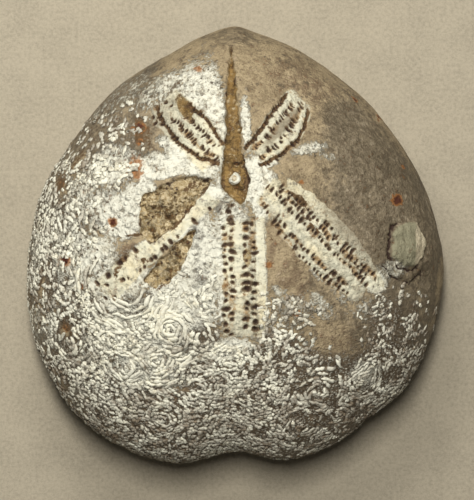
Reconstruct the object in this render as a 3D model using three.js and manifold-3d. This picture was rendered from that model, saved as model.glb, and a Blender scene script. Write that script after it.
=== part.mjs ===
// A fossil heart urchin: the stone test of an irregular sea urchin, one solid piece.
// Millimetres. +Z is up, +Y points to the pointed rear end, -Y to the notched front end.
// The origin is the middle of the bounding box, at the flat that the stone rests on.
//
// The body is a sphere whose every direction is carried to a point of the test: the heart-shaped
// outline, scaled level by level by a superellipse profile. Everything that is sunk into the top,
// such as the split, the crown pit and the pore grooves of the five petals, is cut out of it.

import * as THREE from "three";
import { mergeVertices } from "three/addons/utils/BufferGeometryUtils.js";
import Module from "manifold-3d";

// ---- the body ----

// The widest outline, as [angle from +X in degrees, radius].
const OUTLINE = [
  [0, 30.8], [20, 29.3], [40, 28.9], [60, 29.4], [74, 30.6], [84, 31.6], [90, 32.5], [97, 31.8],
  [110, 30.2], [125, 29.3], [145, 28.7], [165, 29.7], [185, 30.9], [205, 32.9], [225, 34.3],
  [240, 34.3], [255, 33.9], [270, 33.3], [290, 33.0], [305, 32.6], [320, 32.8], [340, 32.0],
];
const NOTCH = { at: 270, depth: 2.7, width: 10 }; // the front notch, its place and width in degrees
const WIDEST_HEIGHT = 13; // height of the widest outline above the resting flat
const CREST_HEIGHT = 34;
const BASE_SUNK = 0.6; // how far the rounded underside would pass below the flat that cuts it
const DOME_FULLNESS = 2.25; // superellipse exponent above the widest outline
const UNDERSIDE_FULLNESS = 2.6; // and below it
const CREST_LEAN = 3.5; // how far the crest lies behind the middle of the outline
const BODY_DETAIL = 16; // subdivision of the icosahedron, 20 (detail + 1)^2 triangles

// ---- hollows of the underside and the rim ----

const FURROW = { depth: 0.8, halfWidth: 3, from: -10, to: -26 }; // runs down the front to the notch
const MOUTH = { y: -18.5, height: 2.6, halfWidth: 5.5, halfLength: 3.2 };
const VENT = { z: 8.5, depth: 1.4, halfWidth: 2.4, halfHeight: 3.2 }; // on the rear face

// ---- what is sunk into the top ----

// Each petal: inner and outer end of its midline, the gap between its two pore grooves at the
// middle, and the grooves' width.
const PETALS = [
  { start: [-2.1, 11.9], end: [-10.6, 20.7], spacing: 3.4, groove: 1.2 },
  { start: [2.4, 12.5], end: [10.6, 20.5], spacing: 3.4, groove: 1.2 },
  { start: [3.6, 8.2], end: [20.0, -5.6], spacing: 3.6, groove: 1.4 },
  { start: [0.5, 4.2], end: [1.2, -13.3], spacing: 2.9, groove: 1.3 },
  { start: [-3.1, 7.9], end: [-19.0, -6.7], spacing: 3.6, groove: 1.3 },
];
const GROOVE_DEPTH = 0.35;
const GROOVE_STATIONS = 8;

const SUNKEN = [
  { depth: 0.9, edge: [[-0.5, 30], [-0.9, 26.8], [-1.2, 23.8], [-1.4, 18], [-1.8, 13], [1.4, 13],
    [0.9, 17], [0.4, 21.5], [0, 25], [-0.4, 27.5]] }, // the split of the rear plates
  { depth: 1.3, edge: [[-1.9, 12.2], [1.5, 12.2], [2.2, 9.3], [1.8, 7.2], [0.9, 5.5], [-0.8, 6.9],
    [-2.2, 8.7]] }, // the crown pit
  { depth: 0.8, edge: [[-3.3, 9.3], [-6.2, 9.9], [-9.1, 9.3], [-13.4, 7.1], [-13.9, 4.3],
    [-13.6, 1.4], [-12.2, 0], [-9.9, 1.7], [-7.4, 3.8], [-5, 6.7]] }, // broken plates, upper side
  { depth: 0.7, edge: [[-5.5, 2.5], [-6.5, -1], [-7.9, -3.5], [-9.3, -5.2], [-11.2, -6.2],
    [-13.2, -5.5], [-11.5, -3.7], [-9.6, -1.8], [-8.1, 0]] }, // broken plates, lower side
];
const CUT_TOP = CREST_HEIGHT + 2; // cutters reach above the crest

// A small shell that is grown onto the right flank.
const CRUST = { at: [25, -0.1], halfWidth: 2.7, halfLength: 3.1, height: 0.8 };

const STONE = new THREE.MeshStandardMaterial({ color: 0xb9ab93, roughness: 0.9, metalness: 0 });

// ---- the shape of the body ----

/** Radius of the widest outline at an angle: a cubic Hermite curve through OUTLINE. */
function outlineRadius(degrees) {
  const count = OUTLINE.length;
  const at = ((degrees % 360) + 360) % 360;
  const i = OUTLINE.findLastIndex(([angle]) => angle <= at);
  const knot = (k) => {
    const turns = Math.floor(k / count);
    const [angle, radius] = OUTLINE[k - turns * count];
    return [angle + 360 * turns, radius];
  };
  const [[a0, r0], [a1, r1], [a2, r2], [a3, r3]] = [i - 1, i, i + 1, i + 2].map(knot);
  const span = a2 - a1;
  const t = (at - a1) / span;
  const slope1 = ((r2 - r0) / (a2 - a0)) * span;
  const slope2 = ((r3 - r1) / (a3 - a1)) * span;
  return (
    (2 * t ** 3 - 3 * t ** 2 + 1) * r1 + (t ** 3 - 2 * t ** 2 + t) * slope1 +
    (3 * t ** 2 - 2 * t ** 3) * r2 + (t ** 3 - t ** 2) * slope2
  );
}

const bell = (x) => Math.exp(-x * x);

/** The point of the test that a unit direction is carried to. */
function testPoint(direction) {
  const sine = direction.z;
  const cosine = Math.sqrt(Math.max(0, 1 - sine * sine));
  const fullness = sine > 0 ? DOME_FULLNESS : UNDERSIDE_FULLNESS;
  const spread = cosine ** (2 / fullness);
  const rise = Math.sign(sine) * Math.abs(sine) ** (2 / fullness);
  const angle = Math.atan2(direction.y, direction.x);
  const degrees = ((THREE.MathUtils.radToDeg(angle) % 360) + 360) % 360;
  const notch = NOTCH.depth * bell((degrees - NOTCH.at) / NOTCH.width) * cosine * cosine;
  const radius = (outlineRadius(degrees) - notch) * spread;
  const point = new THREE.Vector3(
    radius * Math.cos(angle),
    radius * Math.sin(angle) + CREST_LEAN * Math.max(rise, 0) ** 2,
    WIDEST_HEIGHT + rise * (sine > 0 ? CREST_HEIGHT - WIDEST_HEIGHT : WIDEST_HEIGHT + BASE_SUNK),
  );
  if (sine > 0) {
    const along = THREE.MathUtils.smoothstep(-point.y, -FURROW.from, -FURROW.to);
    point.z -= FURROW.depth * along * bell(point.x / FURROW.halfWidth) * rise;
  } else {
    const mouth = bell(point.x / MOUTH.halfWidth) * bell((point.y - MOUTH.y) / MOUTH.halfLength);
    point.z += MOUTH.height * mouth;
  }
  if (point.y > 0) {
    point.y -= VENT.depth * bell(point.x / VENT.halfWidth) * bell((point.z - VENT.z) / VENT.halfHeight);
  }
  point.z = Math.max(point.z, 0);
  return point;
}

/** The body's skin, with no hollow of the top in it. */
function bodyGeometry() {
  const geometry = new THREE.IcosahedronGeometry(1, BODY_DETAIL);
  const position = geometry.attributes.position;
  const direction = new THREE.Vector3();
  for (let i = 0; i < position.count; i += 1) {
    direction.fromBufferAttribute(position, i).normalize();
    const point = testPoint(direction);
    position.setXYZ(i, point.x, point.y, point.z);
  }
  return geometry;
}

// ---- cutters ----

/** Where a vertical line through x, y meets the skin of the dome. */
function onDome(skin, x, y) {
  const down = new THREE.Raycaster(new THREE.Vector3(x, y, 2 * CREST_HEIGHT), new THREE.Vector3(0, 0, -1));
  return down.intersectObject(skin)[0];
}

/** A prism over a closed edge, whose floor follows the dome at the given depth below it. */
function cutter(skin, edge, depth) {
  const shape = new THREE.Shape(edge.map(([x, y]) => new THREE.Vector2(x, y)));
  const geometry = new THREE.ExtrudeGeometry(shape, { depth: CUT_TOP, steps: 1, bevelEnabled: false });
  const position = geometry.attributes.position;
  for (let i = 0; i < position.count; i += 1) {
    if (position.getZ(i) < CUT_TOP / 2) {
      const skinPoint = onDome(skin, position.getX(i), position.getY(i)).point;
      position.setZ(i, skinPoint.z - depth);
    }
  }
  return geometry;
}

/** The two pore grooves of a petal, as closed edges that bow away from its midline. */
function petalGrooves({ start, end, spacing, groove }) {
  const inner = new THREE.Vector2(...start);
  const outer = new THREE.Vector2(...end);
  const across = outer.clone().sub(inner).normalize().rotateAround(new THREE.Vector2(), Math.PI / 2);
  return [-1, 1].map((side) => {
    const edgeAt = (k, shift) => {
      const t = k / GROOVE_STATIONS;
      const bow = 0.45 + 0.55 * Math.sin(Math.PI * Math.min(1, t * 0.85 + 0.08));
      const offset = side * (spacing / 2) * bow + shift * (groove / 2) * Math.sin(Math.PI * (0.1 + 0.8 * t));
      const point = inner.clone().lerp(outer, t).addScaledVector(across, offset);
      return [point.x, point.y];
    };
    const stations = Array.from({ length: GROOVE_STATIONS + 1 }, (_, k) => k);
    return [...stations.map((k) => edgeAt(k, 1)), ...stations.reverse().map((k) => edgeAt(k, -1))];
  });
}

/** The grown-on shell: a flat dome laid on the flank, square to the skin. */
function crustGeometry(skin) {
  const hit = onDome(skin, ...CRUST.at);
  const square = new THREE.Quaternion().setFromUnitVectors(new THREE.Vector3(0, 0, 1), hit.face.normal);
  return new THREE.SphereGeometry(1, 20, 10)
    .scale(CRUST.halfWidth, CRUST.halfLength, CRUST.height)
    .applyQuaternion(square)
    .translate(hit.point.x, hit.point.y, hit.point.z);
}

// ---- joining and cutting ----

const wasm = await Module();
wasm.setup();

/** A closed geometry as a solid. */
function solid(geometry) {
  const bare = geometry.clone();
  bare.deleteAttribute("normal");
  bare.deleteAttribute("uv");
  const merged = mergeVertices(bare, 1e-4);
  return new wasm.Manifold(
    new wasm.Mesh({
      numProp: 3,
      vertProperties: new Float32Array(merged.attributes.position.array),
      triVerts: new Uint32Array(merged.index.array),
    }),
  );
}

/** A solid as a geometry again. */
function geometryOf(body) {
  const mesh = body.getMesh();
  const geometry = new THREE.BufferGeometry();
  geometry.setAttribute("position", new THREE.BufferAttribute(mesh.vertProperties, 3));
  geometry.setIndex(new THREE.BufferAttribute(mesh.triVerts, 1));
  return geometry;
}

// ---- the fossil ----

const bodySkin = bodyGeometry();
const skin = new THREE.Mesh(bodySkin);
skin.updateMatrixWorld();

const sunken = SUNKEN.map(({ depth, edge }) => cutter(skin, edge, depth));
const grooves = PETALS.flatMap(petalGrooves).map((edge) => cutter(skin, edge, GROOVE_DEPTH));

let stone = solid(bodySkin).add(solid(crustGeometry(skin)));
for (const geometry of [...sunken, ...grooves]) {
  stone = stone.subtract(solid(geometry));
}

const fossilGeometry = geometryOf(stone);
fossilGeometry.computeBoundingBox();
const middle = fossilGeometry.boundingBox.getCenter(new THREE.Vector3());
fossilGeometry.translate(-middle.x, -middle.y, -fossilGeometry.boundingBox.min.z);
fossilGeometry.computeVertexNormals();

const fossil = new THREE.Mesh(fossilGeometry, STONE);
fossil.name = "urchin_stone";

const group = new THREE.Group();
group.add(fossil);

export default group;
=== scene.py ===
"""Looks of a fossil heart urchin: its weathered test, the silica that has grown on it, and a stage.

Lengths inside the shape functions are millimetres, +Z up, +Y towards the pointed rear of the test and
-Y towards the notched front. They become metres when a mesh is written.
"""

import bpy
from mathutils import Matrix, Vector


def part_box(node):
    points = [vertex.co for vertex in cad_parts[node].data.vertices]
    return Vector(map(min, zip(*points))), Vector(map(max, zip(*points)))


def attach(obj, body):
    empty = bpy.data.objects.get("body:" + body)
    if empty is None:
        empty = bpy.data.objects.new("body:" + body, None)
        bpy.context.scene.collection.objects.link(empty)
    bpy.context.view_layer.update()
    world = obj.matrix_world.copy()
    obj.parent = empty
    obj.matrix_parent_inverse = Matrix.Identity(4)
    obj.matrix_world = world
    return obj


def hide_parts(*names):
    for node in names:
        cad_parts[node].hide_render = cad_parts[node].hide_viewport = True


bl_info = {
    "name": "Fossil Heart Urchin",
    "version": (1, 0, 0),
    "blender": (4, 5, 0),
    "location": "3D View > Sidebar > Fossil Urchin",
    "description": "A weathered fossil heart urchin with petals, silica ridges and a studio stage",
    "category": "Add Mesh",
}

import bpy
import numpy as np
from mathutils import Vector

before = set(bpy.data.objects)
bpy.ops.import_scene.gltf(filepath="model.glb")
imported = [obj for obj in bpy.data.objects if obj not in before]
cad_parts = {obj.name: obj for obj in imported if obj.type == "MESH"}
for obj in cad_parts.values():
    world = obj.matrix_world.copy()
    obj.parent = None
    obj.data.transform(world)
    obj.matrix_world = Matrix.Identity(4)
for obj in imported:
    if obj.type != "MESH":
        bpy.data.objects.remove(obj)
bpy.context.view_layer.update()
STONE_NODE = "urchin_stone"
STONE_LOW, STONE_HIGH = (np.array(corner) * 1000.0 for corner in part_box(STONE_NODE))

MILLIMETRE = 0.001

# ---------------------------------------------------------------------------------------------
# The body of the test, the same formula as the solid that this finish replaces
# ---------------------------------------------------------------------------------------------

# angle in degrees from +X, radius in mm: the plan outline at the widest height
OUTLINE = np.array([
    (0, 30.8), (20, 29.3), (40, 28.9), (60, 29.4), (74, 30.6), (84, 31.6), (90, 32.5), (97, 31.8),
    (110, 30.2), (125, 29.3), (145, 28.7), (165, 29.7), (185, 30.9), (205, 32.9), (225, 34.3),
    (240, 34.3), (255, 33.9), (270, 33.3), (290, 33.0), (305, 32.6), (320, 32.8), (340, 32.0),
])
NOTCH_AT, NOTCH_DEPTH, NOTCH_WIDTH = 270.0, 2.7, 10.0
WIDEST_HEIGHT = 13.0
CREST_HEIGHT = 34.0
BASE_SUNK = 0.6
DOME_FULLNESS, UNDERSIDE_FULLNESS = 2.25, 2.6
CREST_LEAN = 3.5
FURROW_DEPTH, FURROW_HALF_WIDTH, FURROW_FROM, FURROW_TO = 0.8, 3.0, 10.0, 26.0
MOUTH_Y, MOUTH_HEIGHT, MOUTH_HALF_WIDTH, MOUTH_HALF_LENGTH = -18.5, 2.6, 5.5, 3.2
VENT_Z, VENT_DEPTH, VENT_HALF_WIDTH, VENT_HALF_HEIGHT = 8.5, 1.4, 2.4, 3.2
LEAN_ROUNDS = 20  # of correction for the lean
OUTERMOST = 0.9995  # of the outline, where a place on the dome is looked for


def bell(x):
    """A smooth bump: one at x = 0, falling off as e to the minus x squared."""
    return np.exp(-x * x)


def ramp(x, low, high):
    """Nought below low, one above high, and a smooth S between them."""
    t = np.clip((x - low) / (high - low), 0, 1)
    return t * t * (3 - 2 * t)


def unit(vectors):
    """Each vector divided by its own length."""
    return vectors / np.maximum(np.linalg.norm(vectors, axis=-1, keepdims=True), 1e-12)


def outline_radius(degrees):
    """A closed cubic curve through OUTLINE; its slope at a point is that of the chord of its neighbours."""
    at, radius = OUTLINE[:, 0], OUTLINE[:, 1]
    after, before = np.roll(at, -1), np.roll(at, 1)
    after[-1] += 360
    before[0] -= 360
    slope = (np.roll(radius, -1) - np.roll(radius, 1)) / (after - before)
    degrees = degrees % 360
    here = np.searchsorted(at, degrees, side="right") - 1
    there = (here + 1) % len(at)
    span = after[here] - at[here]
    t = (degrees - at[here]) / span
    return (
        (2 * t**3 - 3 * t**2 + 1) * radius[here] + (t**3 - 2 * t**2 + t) * span * slope[here]
        + (3 * t**2 - 2 * t**3) * radius[there] + (t**3 - t**2) * span * slope[there]
    )


def carried(directions):
    """The smooth test: each unit direction is carried to a point in mm.

    In plan the point lies on the outline times the cosine of its latitude raised to 2/n, and in height
    on the sine raised to 2/n, which is a superellipse of fullness n. The crest leans to the rear, a
    furrow runs down to the notch, and the mouth and vent are bell-shaped hollows.
    """
    sine = np.clip(directions[..., 2], -1, 1)
    cosine = np.sqrt(np.maximum(0, 1 - sine * sine))
    power = 2 / np.where(sine > 0, DOME_FULLNESS, UNDERSIDE_FULLNESS)
    spread = cosine**power
    rise = np.sign(sine) * np.abs(sine) ** power
    degrees = np.degrees(np.arctan2(directions[..., 1], directions[..., 0]))
    from_notch = (degrees - NOTCH_AT + 180) % 360 - 180
    radius = outline_radius(degrees) - NOTCH_DEPTH * bell(from_notch / NOTCH_WIDTH) * cosine**2
    angle = np.radians(degrees)
    x = radius * spread * np.cos(angle)
    y = radius * spread * np.sin(angle) + CREST_LEAN * np.maximum(rise, 0) ** 2
    upper = WIDEST_HEIGHT + rise * (CREST_HEIGHT - WIDEST_HEIGHT)
    upper = upper - FURROW_DEPTH * ramp(-y, FURROW_FROM, FURROW_TO) * bell(x / FURROW_HALF_WIDTH) * rise
    lower = WIDEST_HEIGHT + rise * (WIDEST_HEIGHT + BASE_SUNK)
    lower = lower + MOUTH_HEIGHT * bell(x / MOUTH_HALF_WIDTH) * bell((y - MOUTH_Y) / MOUTH_HALF_LENGTH)
    z = np.where(sine > 0, upper, lower)
    vent = VENT_DEPTH * bell(x / VENT_HALF_WIDTH) * bell((z - VENT_Z) / VENT_HALF_HEIGHT)
    y = y - np.where(y > 0, vent, 0)
    return np.stack([x, y, np.maximum(z, 0)], -1)


def facing(directions, step=2e-3):
    """The outward normal of the smooth test: the cross product of two short steps along it."""
    helper = np.where(np.abs(directions[..., 2:]) < 0.9, [[0.0, 0.0, 1.0]], [[1.0, 0.0, 0.0]])
    first = unit(np.cross(helper, directions))
    second = np.cross(directions, first)
    along = carried(unit(directions + step * first)) - carried(unit(directions - step * first))
    across = carried(unit(directions + step * second)) - carried(unit(directions - step * second))
    normal = unit(np.cross(along, across))
    flat_base = carried(directions)[..., 2:] <= 1e-6
    return np.where(flat_base, [[0.0, 0.0, -1.0]], normal)


def above(x, y):
    """The direction whose carried point lies at plan place x, y on the dome.

    The lean depends on the height, which depends on the lean, so both are corrected in turn.
    """
    rise = np.full(np.shape(x), 0.8)
    for _ in range(LEAN_ROUNDS):
        flat_y = y - CREST_LEAN * rise**2
        degrees = np.degrees(np.arctan2(flat_y, x))
        share = np.clip(np.hypot(x, flat_y) / outline_radius(degrees), 0, OUTERMOST)
        cosine = share ** (DOME_FULLNESS / 2)
        sine = np.sqrt(1 - cosine**2)
        rise = sine ** (2 / DOME_FULLNESS)
    angle = np.radians(degrees)
    return np.stack([cosine * np.cos(angle), cosine * np.sin(angle), sine], -1)


# ---------------------------------------------------------------------------------------------
# Seeded noise
# ---------------------------------------------------------------------------------------------

SEED = 20
LATTICE = np.random.default_rng(SEED).permutation(256)
LATTICE_SLOPES = unit(np.random.default_rng(SEED + 1).normal(size=(256, 3)))
NOISE_GAIN = 1.6  # brings the noise to about -1 to 1
LAYERS_APART, CELLS_APART = 17.3, 5.1  # in features, so that layers and seeds don't repeat each other


def scramble(*whole):
    """A repeatable number from 0 to 255 for each set of whole numbers."""
    mixed = np.zeros(np.shape(whole[0]), int)
    for part in whole:
        mixed = LATTICE[(mixed + np.asarray(part, int)) & 255]
    return mixed


def chance(*whole):
    """A repeatable number from 0 to 1 for each set of whole numbers."""
    return scramble(*whole) / 255.0


def ripple(points, size, layers=1, seed=0):
    """Gradient noise of about -1 to 1, with features of the given size in mm.

    At each corner of a lattice stands a random slope. The noise is the slopes' heights, blended with an S
    curve. Each further layer is half as high and half as big.
    """
    total = np.zeros(points.shape[:-1])
    for layer in range(layers):
        p = points * 2.0**layer / size + LAYERS_APART * (layer + seed)
        cell = np.floor(p).astype(int)
        local = p - cell
        fade = local**3 * (local * (local * 6 - 15) + 10)
        value = 0
        for corner in np.ndindex(2, 2, 2):
            slope = LATTICE_SLOPES[scramble(*(cell[..., k] + corner[k] for k in range(3)))]
            dot = sum((local[..., k] - corner[k]) * slope[..., k] for k in range(3))
            weight = 1
            for k in range(3):
                weight = weight * (fade[..., k] if corner[k] else 1 - fade[..., k])
            value = value + dot * weight
        total += value * NOISE_GAIN / 2.0**layer
    return total


def cell_distance(points, size, seed=0):
    """Distance to the nearest spot, as a share of the size in mm of the cubes that hold one spot each."""
    p = points / size + CELLS_APART * seed
    cell = np.floor(p).astype(int)
    nearest = np.full(points.shape[:-1], 9.0)
    for step in np.ndindex(3, 3, 3):
        other = cell + np.array(step) - 1
        keys = [other[..., k] for k in range(3)]
        spot = np.stack([other[..., k] + chance(*keys, k + 7) for k in range(3)], -1)
        nearest = np.minimum(nearest, np.linalg.norm(p - spot, axis=-1))
    return nearest


# ---------------------------------------------------------------------------------------------
# Features of the upper side, in plan mm
# ---------------------------------------------------------------------------------------------

# Each petal runs from start to end. Its rows of pores hold the distance along the petal where they
# begin and stop, and the distance across it at their beginning, middle and stop (left is positive).
# A "comb" row is separate pores, and a "groove" row has them run together in a brown groove.
# A rim is a raised edge, held like a row, with its half width and its height at the end.
PETALS = {
    "rear_left": {
        "start": (-2.1, 11.9), "end": (-10.6, 20.7), "pitch": 0.46,
        "rows": [
            ("groove", 0.0, 12.2, 0.5, 2.35, 1.0), ("comb", 0.3, 9.6, 0.2, 0.6, 0.6),
            ("comb", 1.9, 8.2, -1.3, -1.1, -1.1), ("groove", 1.6, 9.4, -2.0, -2.75, -2.6),
            ("sparse", 9.6, 13.4, 2.6, 2.4, 1.8), ("sparse", 10.6, 13.6, -0.6, -0.2, 0.4),
            ("sparse", 11.2, 14.0, 1.6, 1.4, 1.2),
        ],
    },
    "rear_right": {
        "start": (2.4, 12.5), "end": (10.6, 20.5), "pitch": 0.48,
        "rows": [
            ("groove", 0.2, 10.2, 1.5, 2.3, 3.1), ("comb", 0.9, 9.8, 0.8, 0.75, 1.6),
            ("comb", 0.9, 10.8, -0.95, -0.95, 0.5), ("groove", 0.2, 11.0, -1.6, -2.75, -0.7),
        ],
    },
    "right": {
        "start": (3.6, 8.2), "end": (20.0, -5.6), "pitch": 0.74,
        "rows": [
            ("comb", 2.0, 21.2, 2.1, 1.95, 0.7), ("comb", 2.6, 20.0, 1.5, 1.2, 0.2),
            ("comb", 0.8, 21.0, 0.9, 0.0, -0.7), ("comb", 4.6, 18.5, -1.5, -2.6, -2.5),
            ("comb", 0.9, 19.4, -1.1, -3.6, -3.45),
        ],
        "rims": [(2.0, 22.8, 3.3, 3.5, 0.6, 0.42, 0.45)],
    },
    "front": {
        "start": (0.5, 4.2), "end": (1.2, -13.3), "pitch": 1.06,
        "rows": [
            ("comb", 0.6, 16.8, -2.05, -2.2, -2.4), ("comb", 0.0, 17.2, -1.0, -1.2, -1.6),
            ("comb", -1.8, 0.6, -1.3, -1.2, -1.3), ("comb", 1.0, 16.9, 0.95, 0.75, 0.4),
            ("comb", 0.4, 17.0, 2.0, 1.8, 1.6),
        ],
        "rims": [(0.2, 17.4, 3.3, 3.05, 2.7, 0.55, 0.25)],
    },
    "left": {
        "start": (-3.1, 7.9), "end": (-19.0, -6.7), "pitch": 1.05,
        "rows": [
            ("sparse", 2.0, 21.0, 1.5, 1.4, 1.9), ("sparse", 13.0, 21.8, -1.0, -1.3, -1.4),
            ("sparse", 17.5, 22.5, 0.9, 0.9, 1.0), ("sparse", 18.5, 22.8, -0.3, -0.3, -0.2),
        ],
    },
}
ROW_DEPTH = {"groove": 0.42, "comb": 0.2, "sparse": 0.05}
ROW_SHARE = {"groove": 0.95, "comb": 0.9, "sparse": 0.6}  # of the pores that are there
ROW_HALF_WIDTH = 0.36
ROW_STAIN_HALF_WIDTH = 0.7
PETAL_MARGIN = 0.55  # of plate beyond the outermost rows
PORE_DEPTH = 0.5
SPARSE_PITCH = 0.95
PORE_HALF_LENGTH = {"groove": 0.26, "comb": 0.33, "sparse": 0.33}
FINEST_PORE = 0.17  # half width in mm
PORE_HALF_WIDTH_SHARE = 0.27  # of the pitch
PORE_SHIFT, PORE_SLIDE = 0.5, 0.4  # by chance along the row, of the pitch, and across it, in mm
PORE_LEAST_SIZE = 0.5
PORE_OWN_SIZE, PORE_GROUP_SIZE = 0.5, 0.4  # what chance adds to one pore, and to four in a row
PETAL_WANDER, PETAL_WANDER_SIZE = 0.24, 1.7
STRIP_PLATES = 0.85  # of plate on the strip between a rim and the petal's middle

# floors sunk below the surface: depth, softness of the edge, and the corners of the outline
SUNKEN = {
    "split": (0.9, 0.28, [(-0.5, 30), (-0.9, 26.8), (-1.2, 23.8), (-1.4, 18), (-1.7, 11.5), (1.4, 11.5),
                          (0.9, 17), (0.4, 21.5), (0.0, 25), (-0.4, 27.5)]),
    "crown_pit": (1.3, 0.5, [(-1.9, 12.2), (1.5, 12.2), (2.2, 9.3), (1.8, 7.2), (0.9, 5.5), (-0.8, 6.9),
                             (-2.2, 8.7)]),
    "left_hollow": (0.8, 0.45, [(-3.3, 9.3), (-6.2, 9.9), (-9.1, 9.3), (-13.4, 7.1), (-13.9, 4.3),
                                (-13.6, 1.4), (-12.2, 0), (-9.9, 1.7), (-7.4, 3.8), (-5, 6.7)]),
    "front_hollow": (0.7, 0.45, [(-5.5, 2.5), (-6.5, -1), (-7.9, -3.5), (-9.3, -5.2), (-11.2, -6.2),
                                 (-13.4, -5.2), (-11.9, -3.3), (-10.0, -1.4), (-8.5, 0.4)]),
}
KNOB_AT, KNOB_RADIUS, KNOB_HEIGHT = (-0.1, 9.6), 0.85, 1.0
KNOB_RING, KNOB_RING_WIDTH = 0.8, 0.3  # radius and half width of its ring, in knob radii
KNOB_MIDDLE = 0.35  # height of its middle beside that of the ring
SHELL_AT, SHELL_HALF_WIDTH, SHELL_HALF_LENGTH = (25.1, 0.0), 2.8, 3.5
SHELL_EDGE_HEIGHT, SHELL_DOME_HEIGHT, SHELL_COLLAR_HEIGHT, SHELL_GAP_DEPTH = 0.35, 0.45, 0.3, 0.4
SHELL_RIBS, SHELL_RIB_HEIGHT = 2.6, 0.03  # how many from its middle to its side, and their height in mm
BLOB_DEPTH = 0.35
# the second width is that in mm of the band of painted shade just inside the sunken floors' edges
EDGE_RAGGEDNESS, EDGE_SHADE_WIDTH = 0.3, 0.3

# ripples of the skin: height and size in mm, layers, seed
SWELLS = (0.28, 11.0, 2, 0)
SKIN = (0.07, 2.2, 2, 1)
PLATE_GRAIN = (0.2, 0.8, 2, 5)
SEDIMENT_LUMPS = (0.55, 2.1, 3, 8)
SEDIMENT_GRAIN_HEIGHT, SEDIMENT_GRAIN_SIZE = 0.5, 0.75

PATCH_EDGE = 2.2  # power that sets how abruptly a patch ends
# patches: plan centre, half width, half length, turn in degrees, strength
WHITE_PATCHES = [
    (1.5, 9.4, 4.2, 3.4, 0, 0.95), (-5.4, -0.5, 3.4, 6.6, 8, 0.9), (-7.9, -8.6, 6.6, 5.0, 0, 0.95),
    (-0.6, -3.0, 3.4, 11.0, 0, 0.8), (3.7, -3.6, 0.8, 10.4, 2, 1.0), (-10.8, 0.9, 11.8, 1.6, 42, 1.0),
    (-17.6, 4.6, 5.6, 4.2, 0, 0.9), (-22.5, -1.5, 6.0, 8.4, 0, 0.8), (-8.2, 12.8, 7.0, 2.6, -18, 0.95),
    (-3.4, 18.4, 2.2, 8.6, 4, 0.85), (12.6, 2.2, 11.0, 1.2, -40, 0.7), (10.6, -0.4, 9.4, 1.2, -42, 0.6),
    (20.1, -5.3, 1.9, 1.7, -40, 1.0), (3.6, 11.6, 3.4, 1.5, 30, 0.85),
    (-6.4, 16.0, 7.2, 2.6, -46, 0.65), (10.8, 13.9, 3.0, 0.9, 14, 0.62), (13.4, 12.6, 1.6, 0.6, 0, 0.5),
    (-14.6, -14.6, 10.4, 8.4, -8, 0.95), (-1.0, -25.0, 18.0, 7.5, 0, 0.5),
    (18.8, -18.8, 3.4, 3.0, 0, 0.8), (-24.0, 8.0, 5.0, 7.0, 0, 0.75), (-17.6, 11.6, 5.0, 3.4, 20, 0.85),
    (-12.0, 20.4, 5.0, 2.8, 35, 0.54), (-6.6, 24.6, 4.4, 2.0, 0, 0.5), (1.6, 17.5, 0.8, 4.6, 4, 0.75),
    (6.0, -12.0, 4.0, 5.0, 0, 0.5), (-18.0, 20.5, 8.0, 2.2, 44, 0.45), (12.0, -9.0, 3.0, 1.4, -38, 0.5),
    (-21.0, -21.0, 4.0, 8.0, 48, 0.6), (5.2, 7.4, 1.6, 1.4, 0, 0.8), (-12.6, 11.6, 3.6, 1.6, 10, 0.9),
    (11.8, -4.2, 2.4, 0.6, -50, 0.55), (-25.0, -11.0, 5.0, 8.0, 20, 0.7),
    (-29.0, -4.0, 3.0, 12.0, 4, 0.7), (-27.0, 6.0, 3.0, 6.0, -20, 0.7),
    (14.0, -20.2, 3.0, 2.2, 30, 0.6), (22.5, -3.6, 3.4, 1.6, 20, 0.5), (-13.0, 6.0, 2.0, 5.0, 40, 0.8),
    (-10.8, 10.4, 4.0, 1.1, 8, 1.0), (-15.6, 1.8, 1.6, 1.0, 0, 0.9), (-12.0, -4.4, 3.6, 0.8, 42, 1.0),
    (-15.0, -5.0, 3.0, 2.0, 42, 0.9), (-3.0, 7.4, 1.6, 1.2, 0, 0.9), (-5.4, 22.6, 3.6, 4.4, 0, 0.72),
    (-9.0, 23.0, 4.0, 2.6, 20, 0.62), (-12.4, 7.0, 1.6, 3.4, 10, 0.9), (3.6, 5.6, 1.4, 2.4, 30, 0.8),
    (-0.6, -15.2, 4.0, 2.0, 0, 1.0), (15.5, -7.5, 4.0, 1.2, -42, 0.45), (8.0, -9.0, 4.0, 2.4, -20, 0.5),
    (6.4, -6.6, 1.6, 0.6, -30, 0.6), (12.5, -8.0, 2.6, 0.6, -40, 0.6), (20.5, -9.0, 5.0, 2.4, 0, 0.5),
]
BARE_PATCHES = [
    (-13.6, 16.0, 1.9, 3.2, 25, 0.8), (-11.4, 14.0, 2.4, 0.7, -30, 0.6),
    (-22.4, 12.6, 1.5, 2.8, -35, 0.75), (-25.8, 8.4, 1.6, 2.6, 0, 0.8), (-27.6, -7.0, 1.2, 3.0, 0, 0.6),
    (-24.4, -12.4, 1.6, 3.0, 10, 0.6), (-20.6, 16.0, 1.2, 2.6, -45, 0.6),
    (-20.4, 2.0, 2.0, 0.7, -20, 0.5),
]
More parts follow.
